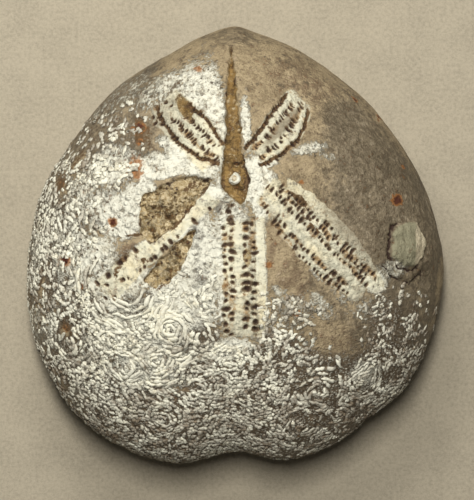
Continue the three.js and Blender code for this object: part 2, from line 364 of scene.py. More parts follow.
# below this height noise pushes the patches about, by how much and in waves of what size, in mm
FLANK_TOP, FLANK_DRIFT, FLANK_DRIFT_SIZE = 26.0, 6.0, 8.0
CLEAN_PATCHES = [
    (-9.0, -10.0, 6.0, 5.0, 0, 0.6), (18.8, -18.8, 2.6, 2.4, 0, 0.6), (19.6, -4.8, 2.0, 2.0, 0, 1.0),
]
STREAKY_PATCHES = [(-16.0, 19.0, 11.0, 6.5, 42, 1.0), (-22.0, 8.0, 7.0, 5.0, 40, 0.6)]
GREY_PATCHES = [
    (-19.5, 20.4, 11.4, 3.6, 45, 0.9), (-13.9, 15.9, 1.6, 3.0, 25, 1.0),
    (17.6, 14.6, 4.6, 7.4, 18, 1.0), (20.4, 8.4, 3.4, 4.0, 0, 0.9), (29.2, 0.0, 3.0, 14.0, 0, 0.9),
    (26.0, -17.0, 8.0, 4.4, 52, 0.95), (-0.8, -32.0, 20.0, 2.6, 0, 0.6), (-5.2, 2.2, 1.6, 3.4, 8, 0.55),
    (6.8, 17.0, 4.2, 0.8, 47, 0.95), (1.0, 31.0, 9.0, 2.4, 0, 0.5), (-28.0, -2.0, 3.0, 15.0, 6, 0.4),
    (16.6, 3.6, 3.2, 3.0, 0, 0.6), (21.4, 0.8, 1.5, 4.2, 0, 1.0), (-14.0, 17.0, 9.0, 6.0, 40, 0.75),
    (-20.0, 8.0, 5.0, 5.0, 0, 0.6), (23.0, -10.0, 7.0, 7.0, 0, 0.85), (21.0, 6.0, 8.0, 12.0, 12, 0.95),
    (27.0, 4.0, 4.0, 9.0, 0, 0.9), (15.0, -8.0, 7.0, 3.0, -42, 0.55), (-18.0, 21.0, 8.0, 2.6, 45, 1.0),
]
BROWN_PATCHES = [
    (8.6, -5.6, 3.0, 4.4, 30, 0.75), (15.0, -13.0, 4.4, 4.0, 0, 0.6), (12.0, 9.0, 4.0, 1.6, -35, 0.5),
    (10.0, 23.6, 7.6, 3.6, -30, 0.7), (-15.0, -1.0, 2.2, 1.5, 20, 1.0),
    (-25.2, 9.2, 1.5, 2.2, 20, 0.95), (5.3, -1.2, 0.9, 3.0, 0, 0.8), (-24.6, -3.0, 1.4, 2.2, 0, 0.7),
    (-7.8, -20.4, 2.4, 1.4, 0, 0.9), (-4.4, -17.4, 1.6, 1.2, 0, 0.7), (-24.4, -12.4, 1.6, 3.6, 10, 0.7),
    (-10.0, 17.8, 0.8, 1.4, 35, 0.7),
]
# sandy patches that lie over the petals too
BLOB_PATCHES = [(-7.3, 19.9, 1.0, 1.95, 28, 1.0)]
OCHRE_PATCHES = [
    (-14.2, -0.8, 1.8, 1.2, 20, 0.5), (-5.6, 25.2, 2.4, 2.6, 0, 0.36), (1.8, -1.8, 0.65, 1.5, 0, 0.9),
    (-9.0, 22.6, 3.4, 1.6, 20, 0.4),
]
SMUDGE_PATCHES = [
    (-5.4, 1.6, 1.4, 2.8, 10, 0.8), (-5.0, -4.6, 1.1, 3.0, 0, 0.75), (-4.6, -10.5, 0.9, 3.6, 4, 0.8),
    (-17.2, 8.2, 2.4, 1.2, 30, 0.7), (-20.6, 3.0, 2.4, 1.0, 0, 0.6), (-16.5, 13.6, 1.8, 1.6, 0, 0.7),
    (-19.2, 15.2, 2.6, 1.4, 45, 0.8), (-9.4, 15.2, 1.5, 0.6, 0, 0.4), (-2.6, 5.2, 0.8, 1.6, 0, 0.5),
]
STAIN_PATCHES = [
    (-13.4, 16.2, 1.6, 2.8, 25, 0.66), (-12.2, 14.2, 1.6, 0.8, -20, 0.62),
    (-19.0, 19.6, 6.0, 0.9, 45, 0.55), (-25.6, 8.8, 1.3, 2.0, 0, 0.75),
    (-22.6, 12.4, 1.0, 2.2, -35, 0.62), (-28.4, -5.0, 0.8, 2.4, 0, 0.65),
    (-24.6, -12.4, 1.2, 1.8, 10, 0.65), (21.2, -2.4, 0.8, 2.6, 20, 0.5),
    (18.6, 12.4, 2.6, 1.2, 40, 0.35), (-4.6, 7.6, 1.6, 0.5, 45, 0.75), (-8.0, 3.3, 3.0, 0.35, 48, 0.75),
    (-10.4, -5.9, 1.6, 0.3, 30, 0.7), (9.2, 6.5, 0.6, 1.9, 50, 1.0), (11.4, 2.4, 0.4, 1.3, 44, 0.9),
    (-6.4, 8.5, 1.6, 0.5, 35, 0.8), (-16.8, -3.4, 1.4, 0.5, 60, 0.8), (-15.9, -1.9, 1.0, 0.6, 50, 0.8),
    (-13.0, -2.2, 0.7, 0.5, 0, 0.7), (-1.7, 9.2, 0.4, 1.6, 0, 0.8), (1.6, 8.6, 0.4, 1.8, 10, 0.8),
    (-14.6, 1.4, 1.6, 0.3, 5, 0.9), (5.2, 0.9, 0.5, 0.4, 30, 0.7), (5.4, -2.8, 0.6, 0.5, 0, 0.6),
]
# where silica ridges grow thickly, and where they leave the test bare
SILICA_PATCHES = [
    (-15.0, -15.0, 12.5, 9.6, -10, 1.0), (-2.0, -25.5, 20.0, 9.0, 0, 1.0),
    (18.0, -20.0, 10.5, 8.0, 35, 0.9), (-26.0, 0.5, 6.0, 12.0, 0, 0.6),
    (-19.0, 12.0, 5.0, 6.0, 0, 0.32), (-17.0, 16.0, 4.4, 3.6, 40, 0.36),
    (22.0, -12.0, 5.0, 5.0, 0, 0.62), (2.0, -16.4, 10.0, 4.4, 0, 1.0),
    (-17.0, -9.6, 7.5, 4.6, -10, 1.0), (9.5, -11.0, 6.0, 2.4, -25, 0.42),
]
SILICA_FREE_PATCHES = [
    (15.2, -12.6, 4.2, 3.2, 0, 1.0), (-7.6, -20.6, 1.6, 1.0, 0, 0.8), (-18.4, -2.2, 3.4, 3.2, 0, 0.85),
    (-15.6, -5.4, 2.6, 2.2, 0, 1.0), (-25.6, 8.8, 0.9, 1.1, 0, 0.9), (-24.5, -2.2, 0.8, 0.9, 0, 0.95),
    (-24.6, -12.4, 0.8, 0.9, 0, 0.85), (-28.2, -6.0, 0.6, 1.2, 0, 0.7),
    (-22.6, 12.6, 0.7, 1.2, -35, 0.7),
]
# iron stains: plan centre, radius in mm, strength
RUST_SPOTS = [
    (-13.9, 16.9, 0.85, 1.0), (-13.6, 15.0, 0.5, 0.62), (-14.3, 11.2, 1.15, 0.6),
    (-14.0, 10.2, 0.7, 0.5), (-17.6, 3.3, 0.55, 0.95), (23.5, 6.6, 0.7, 1.0), (4.9, -2.8, 0.5, 0.6),
    (8.9, -9.7, 0.4, 0.75), (9.6, 9.0, 0.4, 0.5), (21.8, 19.0, 0.4, 0.9), (24.6, 11.2, 0.3, 0.8),
    (18.0, 21.0, 0.35, 0.9), (-24.5, -2.2, 0.7, 1.0), (-25.6, 9.0, 0.7, 0.6), (-24.6, -12.2, 0.6, 0.6),
    (-22.0, -6.0, 0.4, 0.6), (-5.4, 25.6, 0.6, 0.5),
]


def inside(x, y, corners):
    """Distance in mm to the edge of a closed outline: positive inside it and negative outside."""
    nearest = np.full(x.shape, 1e9)
    within = np.zeros(x.shape, bool)
    corners = np.array(corners, float)
    for (ax, ay), (bx, by) in zip(corners, np.roll(corners, -1, axis=0)):
        squared = (bx - ax) ** 2 + (by - ay) ** 2
        reach = np.clip(((x - ax) * (bx - ax) + (y - ay) * (by - ay)) / squared, 0, 1)
        nearest = np.minimum(nearest, np.hypot(x - ax - reach * (bx - ax), y - ay - reach * (by - ay)))
        if ay != by:
            crossing = (ay > y) != (by > y)
            within ^= crossing & (x < (bx - ax) * (y - ay) / (by - ay) + ax)
    return np.where(within, nearest, -nearest)


def painted(x, y, patches):
    """The strongest of several soft ovals, each flat in its middle and fading past its rim.

    An oval is its strength divided by one plus the distance squared, in its own half sizes, to a power.
    """
    total = np.zeros(x.shape)
    for centre_x, centre_y, half_width, half_length, turn, strength in patches:
        angle = np.radians(turn)
        along = ((x - centre_x) * np.cos(angle) + (y - centre_y) * np.sin(angle)) / half_width
        across = ((y - centre_y) * np.cos(angle) - (x - centre_x) * np.sin(angle)) / half_length
        total = np.maximum(total, strength / (1 + (along**2 + across**2) ** PATCH_EDGE))
    return total


def petal_frame(petal, x, y):
    """Distance along a petal from its start and to the left of its axis, and its length."""
    start, end = np.array(petal["start"]), np.array(petal["end"])
    length = np.hypot(*(end - start))
    forward = (end - start) / length
    along = (x - start[0]) * forward[0] + (y - start[1]) * forward[1]
    across = (y - start[1]) * forward[0] - (x - start[0]) * forward[1]
    return along, across, length


def row_line(row, along):
    """Distance across the petal of a row or rim: the parabola through its three given distances."""
    begin, stop, first, middle, last = row[:5]
    t = np.clip((along - begin) / (stop - begin), 0, 1)
    return first * (1 - t) * (1 - 2 * t) + 4 * middle * t * (1 - t) + last * t * (2 * t - 1)


def petal_marks(points):
    """Pores, the grooves that hold them, how deep rows and rims lie in mm, white plates and brown stains.

    A pore is an oval bell at each step of the pitch along its row, shifted and resized by chance. The
    rows wander a little, as noise pushes the plan places about. A rim is a bell across its line, and lies
    at a negative depth. Plates cover the petal between its outermost rows and a margin beyond them.
    """
    x = points[..., 0] + PETAL_WANDER * ripple(points, PETAL_WANDER_SIZE, 2, seed=30)
    y = points[..., 1] + PETAL_WANDER * ripple(points, PETAL_WANDER_SIZE, 2, seed=31)
    halo = np.zeros(x.shape)
    pores = np.zeros(x.shape)
    grooves = np.zeros(x.shape)
    sunk = np.zeros(x.shape)
    plates = np.zeros(x.shape)
    for number, petal in enumerate(PETALS.values()):
        along, across, length = petal_frame(petal, x, y)
        outer = [row_line(row[1:], along) for row in petal["rows"]]
        left, right = np.max(outer, axis=0), np.min(outer, axis=0)
        middle, half_width = (left + right) / 2, (left - right) / 2 + PETAL_MARGIN
        cover = ramp(half_width - np.abs(across - middle), -0.3, 0.5)
        cover = cover * ramp(along, -0.6, 1.6) * ramp(length + 0.9 - along, -0.3, 2.2)
        plates = np.maximum(plates, cover)
        for place, row in enumerate(petal["rows"]):
            kind, begin, stop = row[:3]
            off = across - row_line(row[1:], along)
            within = ramp(along, begin - 0.4, begin + 0.2) * ramp(stop - along, -0.4, 0.2)
            pitch = max(petal["pitch"], SPARSE_PITCH) if kind == "sparse" else petal["pitch"]
            step = np.rint((along - begin) / pitch)
            shift = PORE_SHIFT * (chance(step, number, place) - 0.5)
            size = PORE_LEAST_SIZE + PORE_OWN_SIZE * chance(step, number, place + 31) ** 1.5
            size = size + PORE_GROUP_SIZE * chance(step // 4, number, place)
            reach = PORE_HALF_LENGTH[kind] * (0.9 + 1.1 * chance(step, number, place + 11) ** 3)
            slide = PORE_SLIDE * (chance(step, number, place + 57) - 0.5)
            present = chance(step, number, place + 83) < ROW_SHARE[kind]
            from_pore = along - begin - (step + shift) * pitch
            half = np.maximum(PORE_HALF_WIDTH_SHARE * pitch * size, FINEST_PORE)
            pore = bell(from_pore / half) * bell((off - slide) / (reach * size))
            pores = np.maximum(pores, pore * within * present)
            stained = chance(np.rint(step / 3), number, place + 5)  # the same for about three pores
            stain = within * bell(off / ROW_STAIN_HALF_WIDTH) * stained
            halo = np.maximum(halo, stain * (kind != "sparse"))
            groove = within * bell(off / ROW_HALF_WIDTH) ** 1.5
            sunk = np.maximum(sunk, groove * ROW_DEPTH[kind])
            if kind == "groove":
                grooves = np.maximum(grooves, groove)
        for rim in petal.get("rims", []):
            begin, stop, half_width, rise = rim[0], rim[1], rim[5], rim[6]
            within = ramp(along, begin - 0.8, begin + 1.2) * ramp(stop - along, -0.6, 0.8)
            off = across - row_line(rim, along)
            ridge = within * bell(off / half_width)
            sunk = sunk - rise * ridge
            strip = within * ramp(-off, -0.3, 0.2) * ramp(across - middle, -0.5, 0.5)
            plates = np.maximum(plates, np.maximum(ramp(ridge, 0.15, 0.6), STRIP_PLATES * strip))
    return pores, grooves, sunk, plates, halo


def sunken_floors(points):
    """Depth in mm of the sunken floors, how far inside one a point is, and the painted shade round them.

    The distance to an outline has noise added, so all three are ragged. The painted shade is a bell just
    inside the outlines taken together, so that none runs across the place where two floors meet.
    """
    x, y = points[..., 0], points[..., 1]
    ragged = EDGE_RAGGEDNESS * ripple(points, 1.5, 4, seed=3)
    depth = np.zeros(x.shape)
    floor = np.zeros(x.shape)
    farthest_in = np.full(x.shape, -1e9)
    for full_depth, soft, corners in SUNKEN.values():
        edge = inside(x, y, corners) + ragged
        depth = np.maximum(depth, full_depth * ramp(edge, -soft * 0.35, soft * 0.65))
        floor = np.maximum(floor, ramp(edge, -0.12, 0.16))
        farthest_in = np.maximum(farthest_in, edge)
    # the last value is painted shade: a dark band just inside the edges of the sunken floors
    return depth, floor, bell((farthest_in - EDGE_SHADE_WIDTH / 2) / EDGE_SHADE_WIDTH)


def shell_marks(x, y):
    """How far inside the encrusting shell's oval a point is, and its place across and along it.

    The first is one less the root of the squares of the other two, which are one at the oval's rim.
    """
    u = (x - SHELL_AT[0]) / SHELL_HALF_WIDTH
    v = (y - SHELL_AT[1]) / SHELL_HALF_LENGTH
    return 1 - np.sqrt(u * u + v * v), u, v


def sooty_share(x, y):
    """How dirty the silica is: clean near the crown and in the clean patches, dirtier further out."""
    clean = painted(x, y, CLEAN_PATCHES)
    return ramp(np.hypot(x / 30, (y - 3) / 30), 0.3, 0.75) * (1 - clean)


def relief(points, height, size, layers, seed):
    """Gradient noise times a height in mm."""
    return height * ripple(points, size, layers, seed)


def crown_knob(points, top):
    """The knob in the crown pit: its height in mm, and how white it is.

    It is a ring-shaped bell that opens to the rear left, round a lower bell in its middle.
    """
    x, y = points[..., 0] - KNOB_AT[0], points[..., 1] - KNOB_AT[1]
    away = np.hypot(x, y) / KNOB_RADIUS
    open_side = ramp(x - y + 0.4 * ripple(points, 0.8, 1, seed=9), -1.1, -0.5)
    ring = bell((away - KNOB_RING) / KNOB_RING_WIDTH) * open_side * top
    height = KNOB_HEIGHT * np.maximum(ring, KNOB_MIDDLE * bell(away / 0.6))
    return height, np.maximum(ring, 0.45 * bell(away / 0.7) * top)


def encrusting_shell(points, top):
    """The encrusting shell: its height in mm, how much of a point is shell or its cream side, and the gap.

    An oval with a ragged edge is raised as a dome with faint curved ribs, which are a cosine across it. A
    collar of stone stands round part of it, and a gap and a crack run between and beside them.
    """
    oval, u, v = shell_marks(points[..., 0], points[..., 1])
    oval = oval + 0.15 * ripple(points, 2.4, 3, seed=11) + 0.05 * ripple(points, 0.5, 2, seed=18)
    shell = ramp(oval, -0.02, 0.2) * top
    ribs = np.cos(2 * np.pi * (u * SHELL_RIBS + 0.3 * v * v + 0.2 * ripple(points, 1.5, 1, seed=12)))
    dome = SHELL_EDGE_HEIGHT + SHELL_DOME_HEIGHT * oval + SHELL_RIB_HEIGHT * ribs
    height = shell * (dome + relief(points, 0.2, 1.7, 2, seed=14))
    collar = bell((oval + 0.28) / 0.2) * top * ramp(-v + 0.4 * u, -0.4, 0.6)
    height += SHELL_COLLAR_HEIGHT * collar * (1 + ripple(points, 1.2, 2, seed=15))
    gap = bell((oval + 0.03 + 0.08 * ripple(points, 1.1, 2, seed=16)) / 0.08) * top
    gap = gap * np.maximum(ramp(-u + 0.2 * v, 0.3, 0.9), 0.8 * ramp(-v, 0.5, 0.9))
    crack = bell((oval + 0.52 + 0.2 * ripple(points, 1.6, 2, seed=17)) / 0.06)
    crack = crack * top * ramp(-v - 0.1 * u, 0.7, 1.1) * ramp(oval, -0.9, -0.5)
    gap = np.maximum(gap, crack)
    height -= SHELL_GAP_DEPTH * gap
    return height, shell, shell * ramp(u, 0.1, 0.5), gap


def colour_marks(points, top, floor):
    """Markings of the coloured patches, each a number from nought to one.

    They are ovals on the upper side. On the flanks noise pushes their places about, and low on the flanks
    white and grey are noise alone. Sediment lies on the sunken floors and about the mouth and vent.
    """
    level = points[..., 2]
    flank = ramp(FLANK_TOP - level, 0, FLANK_TOP / 2)
    x, y = (
        points[..., k] + FLANK_DRIFT * flank * ripple(points, FLANK_DRIFT_SIZE, 3, seed=34 + k)
        for k in (0, 1)
    )
    lower = ramp(FLANK_TOP - level, FLANK_TOP * 0.4, FLANK_TOP)
    white = painted(x, y, WHITE_PATCHES) * (1 - lower)
    white = white + lower * 0.6 * ramp(ripple(points, 13.0, 4, seed=36), -0.1, 0.9)
    grey = painted(x, y, GREY_PATCHES) * (1 - lower)
    grey = grey + lower * ramp(ripple(points, 12.0, 3, seed=37), -0.5, 0.4)
    vent = bell(x / VENT_HALF_WIDTH) * bell((level - VENT_Z) / VENT_HALF_HEIGHT) * (y > 0)
    mouth = bell(x / MOUTH_HALF_WIDTH) * bell((y - MOUTH_Y) / MOUTH_HALF_LENGTH) * (level < WIDEST_HEIGHT)
    filled = ramp(np.maximum(vent, mouth) + 0.2 * ripple(points, 2.0, 3, seed=38), 0.35, 0.6)
    ochre = np.maximum(np.maximum(painted(x, y, OCHRE_PATCHES), floor), filled)
    blob = painted(x, y, BLOB_PATCHES)
    rust = np.zeros(x.shape)
    for spot_x, spot_y, radius, strength in RUST_SPOTS:
        away = np.hypot(x - spot_x, y - spot_y) / radius + 0.4 * ripple(points, 0.9, 1, seed=13)
        rust = np.maximum(rust, strength * bell(away) * top)
    return {
        "white": white * (1 - painted(x, y, BARE_PATCHES)),
        "grey": grey,
        "brown": painted(x, y, BROWN_PATCHES),
        "ochre": np.maximum(ochre, blob),
        "umber": np.maximum(floor * ramp(5.6 - np.abs(x) * 1.4, 0, 2), blob),
        "blob": blob,
        "rust": rust,
        "sooty": sooty_share(x, y),
        "stain": painted(x, y, STAIN_PATCHES),
        "streaky": painted(x, y, STREAKY_PATCHES),
        "smudge": painted(x, y, SMUDGE_PATCHES),
    }


def surface(points, normals):
    """Everything that the finish adds at points of the smooth test: its height in mm and its markings.

    The height is the sum of broad swells, fine grain, the sunken floors, the petals' rows and pores, the
    knob in the crown pit and the encrusting shell. Each marking is a number from nought to one.
    """
    top = ramp(normals[..., 2], -0.05, 0.25)
    depth, floor, rim = sunken_floors(points)
    pores, grooves, sunk, plates, halo = (mark * top * (1 - floor) for mark in petal_marks(points))
    depth, floor = depth * top, floor * top
    knob_height, knob = crown_knob(points, top)
    shell_height, shell, cream, gap = encrusting_shell(points, top)
    marks = colour_marks(points, top, floor)

    height = relief(points, *SWELLS) + relief(points, *SKIN)
    height -= depth + sunk + PORE_DEPTH * pores
    height += plates * relief(points, *PLATE_GRAIN)
    grain = 0.5 - cell_distance(points, SEDIMENT_GRAIN_SIZE, seed=2)
    height += floor * (SEDIMENT_GRAIN_HEIGHT * grain + relief(points, *SEDIMENT_LUMPS))
    height += knob_height + shell_height
    height -= BLOB_DEPTH * ramp(marks.pop("blob"), 0.4, 0.7)

    marks |= {
        "pores": pores, "grooves": grooves, "plates": plates, "halo": halo, "knob": knob, "shell": shell,
        "cream": cream, "gap": gap, "silica": silica_cover(points),
        # painted shade: a dark band just inside the sunken floors' edges, broken up by noise
        "edge": rim * top * ramp(ripple(points, 2.6, 2, seed=33), -0.1, 0.6),
    }
    return height, marks


# ---------------------------------------------------------------------------------------------
# The mesh of the test: a cube's six grids on a sphere, split finer where there is more to show
# ---------------------------------------------------------------------------------------------

CUBE_CELLS = 40
FINE_MARGINS = (None, 2.4, 0.6)  # round the details, in mm, one for each time that faces are split
RESTING_TOP = 0.4  # below this height in mm the faces stay whole
PROBE_CELLS = 120
ANY_POINT = 10**7  # more than there are points, so that two of them make one number for an edge


def cube_sphere(cells):
    """Unit directions and four-cornered faces of a cube whose six square grids are blown up to a sphere.

    A grid place u, v from -1 to 1 goes to the direction (tan 45u, tan 45v, 1), turned to its own side.
    """
    line = np.tan(np.linspace(-1, 1, cells + 1) * np.pi / 4)
    u, v = np.meshgrid(line, line, indexing="ij")
    one = np.ones_like(u)
    sides = [(u, v, one), (v, u, -one), (one, u, v), (-one, v, u), (v, one, u), (u, -one, v)]
    places = np.concatenate([np.stack(side, -1).reshape(-1, 3) for side in sides])
    index = np.arange(len(places)).reshape(6, cells + 1, cells + 1)
    quads = np.stack([index[:, :-1, :-1], index[:, 1:, :-1], index[:, 1:, 1:], index[:, :-1, 1:]], -1)
    keys = np.rint(places * 1e6).astype(np.int64)
    _, first, merged = np.unique(keys, axis=0, return_index=True, return_inverse=True)
    return unit(places[first]), merged.reshape(-1)[quads.reshape(-1, 4)]


def edge_keys(first, second):
    """One whole number for each edge, the same from either end."""
    return np.minimum(first, second) * ANY_POINT + np.maximum(first, second)


def split(directions, quads, chosen):
    """Chosen faces are cut in four through new points in the middle of their edges and of themselves."""
    targets = quads[chosen]
    ends = np.roll(targets, -1, axis=1)
    keys, place = np.unique(edge_keys(targets, ends), return_inverse=True)
    place = place.reshape(targets.shape)
    low, high = keys // ANY_POINT, keys % ANY_POINT
    middles = unit(directions[low] + directions[high])
    centres = unit(directions[targets].sum(1))
    on_edge = len(directions) + place
    at_centre = len(directions) + len(middles) + np.arange(len(targets))
    corners = [np.stack([targets[:, k], on_edge[:, k], at_centre, on_edge[:, k - 1]], -1) for k in range(4)]
    directions = np.concatenate([directions, middles, centres])
    halves = (keys, len(directions) - len(centres) - len(middles) + np.arange(len(keys)))
    return directions, np.concatenate([quads[~chosen], *corners]), halves


def whole_faces(quads, halves):
    """Faces as rows of eight corners: a split neighbour's edge point is one too, and -1 is no corner."""
    keys = np.concatenate([key for key, _ in halves])
    points = np.concatenate([point for _, point in halves])
    order = np.argsort(keys)
    keys, points = keys[order], points[order]
    wanted = edge_keys(quads, np.roll(quads, -1, axis=1))
    found = np.minimum(np.searchsorted(keys, wanted), len(keys) - 1)
    between = np.where(keys[found] == wanted, points[found], -1)
    return np.stack([quads, between], -1).reshape(len(quads), 8)


def detail_distance(points):
    """Distance in mm to the nearest petal, sunken floor or edge of the shell on the upper side."""
    x, y = points[..., 0], points[..., 1]
    nearest = np.full(x.shape, 1e9)
    for petal in PETALS.values():
        along, across, length = petal_frame(petal, x, y)
        lines = [row_line(row[1:], along) for row in petal["rows"]]
        left, right = np.max(lines, axis=0) + 0.4, np.min(lines, axis=0) - 0.4
        aside = np.maximum(np.maximum(across - left, right - across), 0)
        beyond = np.maximum(np.maximum(-0.4 - along, along - length - 0.8), 0)
        nearest = np.minimum(nearest, np.hypot(aside, beyond))
    for _, _, corners in SUNKEN.values():
        nearest = np.minimum(nearest, np.maximum(-inside(x, y, corners), 0))
    shell, _, _ = shell_marks(x, y)
    nearest = np.minimum(nearest, np.abs(shell) * SHELL_HALF_WIDTH)
    return np.where(points[..., 2] > WIDEST_HEIGHT, nearest, 1e9)


def test_mesh():
    """Directions and faces of the test: all but the resting face split once, and details up to thrice."""
    directions, quads = cube_sphere(CUBE_CELLS)
    halves = []
    for margin in FINE_MARGINS:
        middle = carried(unit(directions[quads].mean(1)))
        if margin is None:
            chosen = middle[:, 2] > RESTING_TOP
        else:
            chosen = detail_distance(middle) < margin
        directions, quads, half = split(directions, quads, chosen)
        halves.append(half)
    return directions, whole_faces(quads, halves)


def write_mesh(name, points, faces, marks):
    """A smooth mesh object from points in mm, faces as rows of corners (-1 is none) and point markings."""
    corners = (faces >= 0).sum(1)
    mesh = bpy.data.meshes.new(name)
    mesh.vertices.add(len(points))
    mesh.vertices.foreach_set("co", (points * MILLIMETRE).astype(np.float32).ravel())
    mesh.loops.add(int(corners.sum()))
    mesh.loops.foreach_set("vertex_index", faces[faces >= 0].astype(np.int32))
    mesh.polygons.add(len(faces))
    mesh.polygons.foreach_set("loop_start", (np.cumsum(corners) - corners).astype(np.int32))
    mesh.polygons.foreach_set("use_smooth", np.ones(len(faces), bool))
    for mark, values in marks.items():
        attribute = mesh.attributes.new(mark, "FLOAT", "POINT")
        attribute.data.foreach_set("value", values.astype(np.float32).ravel())
    mesh.update(calc_edges=True)
    if mesh.validate():
        raise RuntimeError(f"{name} has broken faces")
    piece = bpy.data.objects.new(name, mesh)
    bpy.context.scene.collection.objects.link(piece)
    return piece


def seated(points):
    """Points moved so that the smooth test fills the solid's box, with none below its resting face."""
    moved = points + (STONE_LOW + STONE_HIGH) / 2 * [1, 1, 0] - TEST_MIDDLE
    moved[..., 2] = np.maximum(moved[..., 2], STONE_LOW[2])
    return moved


TEST_PROBE = carried(cube_sphere(PROBE_CELLS)[0])
TEST_MIDDLE = (TEST_PROBE.min(0) + TEST_PROBE.max(0)) / 2 * [1, 1, 0]

# ---------------------------------------------------------------------------------------------
# Silica ridges and beads, grown in rings round many centres
# ---------------------------------------------------------------------------------------------

# plan centre of a rosette, distance between its rings, typical length of one ridge, its reach beside that
# of the others, and how far its ridges lie askew
ROSETTES = np.array([
    (-15.8, -6.0, 0.62, 3.6, 2.4, 0.09), (-9.1, -12.8, 0.58, 2.4, 1.2, 0.16),
    (-11.1, -16.9, 0.54, 1.7, 1.0, 0.2), (-15.7, -18.0, 0.54, 1.8, 1.0, 0.2),
    (-5.1, -20.6, 0.5, 0.7, 1.0, 0.45), (-0.5, -17.6, 0.5, 0.7, 1.0, 0.45),
    (3.5, -22.3, 0.5, 0.7, 1.0, 0.45), (9.4, -26.0, 0.5, 0.8, 1.0, 0.4),
    (-11.0, -25.4, 0.5, 0.8, 1.0, 0.35), (-0.8, -28.5, 0.48, 0.7, 1.0, 0.4),
    (18.8, -18.8, 0.44, 1.0, 1.1, 0.2), (12.8, -21.0, 0.54, 1.3, 1.1, 0.25),
    (7.4, -18.6, 0.5, 0.7, 1.0, 0.5), (17.2, -13.6, 0.44, 0.6, 1.0, 0.45),
    (23.9, -13.8, 0.42, 0.6, 1.0, 0.35), (15.2, -25.0, 0.44, 0.8, 1.0, 0.35),
    (20.5, -7.6, 0.42, 0.6, 1.0, 0.4), (-15.1, 8.6, 0.66, 1.2, 1.0, 0.35),
    (-20.0, 9.4, 0.64, 1.0, 1.0, 0.4), (-25.5, -7.9, 0.64, 0.9, 1.0, 0.4),
    (-22.4, -1.0, 0.68, 0.9, 1.0, 0.4), (-26.6, 2.8, 0.62, 0.9, 1.0, 0.4),
    (-24.0, -14.0, 0.6, 1.2, 1.0, 0.3), (-22.4, 13.6, 0.6, 0.9, 1.0, 0.4),
    (-17.4, 18.6, 0.56, 0.8, 1.0, 0.4), (-28.4, -4.0, 0.62, 0.8, 1.0, 0.4),
    (-27.6, 8.0, 0.62, 0.9, 1.0, 0.4), (-18.6, 3.0, 0.7, 1.0, 1.0, 0.4),
    (10.0, -14.0, 0.52, 0.7, 1.0, 0.5), (4.6, -14.8, 0.52, 0.7, 1.0, 0.5),
    (-4.2, -13.0, 0.54, 1.0, 1.0, 0.3),
])
FLANK_CENTRES, FLANK_APART = 420, 4.2
# least and most ring spacing, ridge length, reach and skew of the rosettes on the flanks
FLANK_LEAST, FLANK_MOST = [0.46, 0.55, 0.9, 0.35], [0.56, 0.9, 1.1, 0.5]
RING_COUNT = 24
RING_REACH = 5.4
FIRST_RING = 0.35  # radius in ring spacings
RIDGE_SHIFT = 0.35  # by chance along its ring, of its length
RIDGE_LENGTHS = 0.75, 1.1  # least and most, of the length that fills its part of the ring
LONGEST_HALF_ARC = 1.6  # radians
RIDGE_SWAYS = [(1.1, 0.2, 27), (2.6, 0.6, 21), (7.0, 1.0, 25)]  # size and reach in mm, seed
NEIGHBOUR_OVERLAP = 0.12  # how far ridges reach past the line between two rosettes, of their reach
RIDGE_HALF_WIDTHS, RIDGE_RISES = (0.46, 0.7), (0.25, 0.6)  # least and most, in ring spacings
RIDGE_SCATTER, RIDGE_LUMPS = 0.06, 0.35
LEAST_COVER = 0.1
STATIONS, SIDES = 7, 5
SILICA_SECTORS = [  # name of a piece, and the angles in degrees from +X that it lies between
    ("silica_ridges_rear", 0, 180),
    ("silica_ridges_left", 180, 222),
    ("silica_ridges_front_left", 222, 250),
    ("silica_ridges_front", 250, 280),
    ("silica_ridges_front_right", 280, 306),
    ("silica_ridges_right", 306, 360),
]


def silica_cover(points):
    """How much silica grows at a point, from nought to one: thick at the front and left, thin at the rear.

    It keeps clear of the petals, the sunken floors and the shell's edge, and of the resting face.
    """
    x, y = points[..., 0], points[..., 1]
    cover = painted(x, y, SILICA_PATCHES) * (1 - painted(x, y, SILICA_FREE_PATCHES))
    clear = ramp(detail_distance(points), 0.15, 0.8)
    return cover * clear * ramp(points[..., 2], 1.2, 4.0)


def rosette_centres(random):
    """Directions of the rosettes' centres, and their ring spacings, ridge lengths, reaches and skews.

    The listed ones come first. More are spread evenly over the whole test, each turned by the golden angle
    from the last, and are kept where they are well apart from the listed ones.
    """
    listed = above(ROSETTES[:, 0], ROSETTES[:, 1])
    count = np.arange(FLANK_CENTRES) + 0.5
    height = 1 - 2 * count / FLANK_CENTRES
    turn = count * np.pi * (3 - np.sqrt(5))
    flat = np.sqrt(1 - height**2)
    more = np.stack([flat * np.cos(turn), flat * np.sin(turn), height], -1)
    more = unit(more + 0.05 * random.normal(size=more.shape))
    apart = np.linalg.norm(carried(more)[:, None] - carried(listed)[None], axis=-1).min(1)
    more = more[apart > FLANK_APART]
    more = more[carried(more)[:, 2] > 1.0]
    drawn = random.uniform(FLANK_LEAST, FLANK_MOST, (len(more), 4))
    return np.concatenate([listed, more]), np.concatenate([ROSETTES[:, 2:], drawn]).T


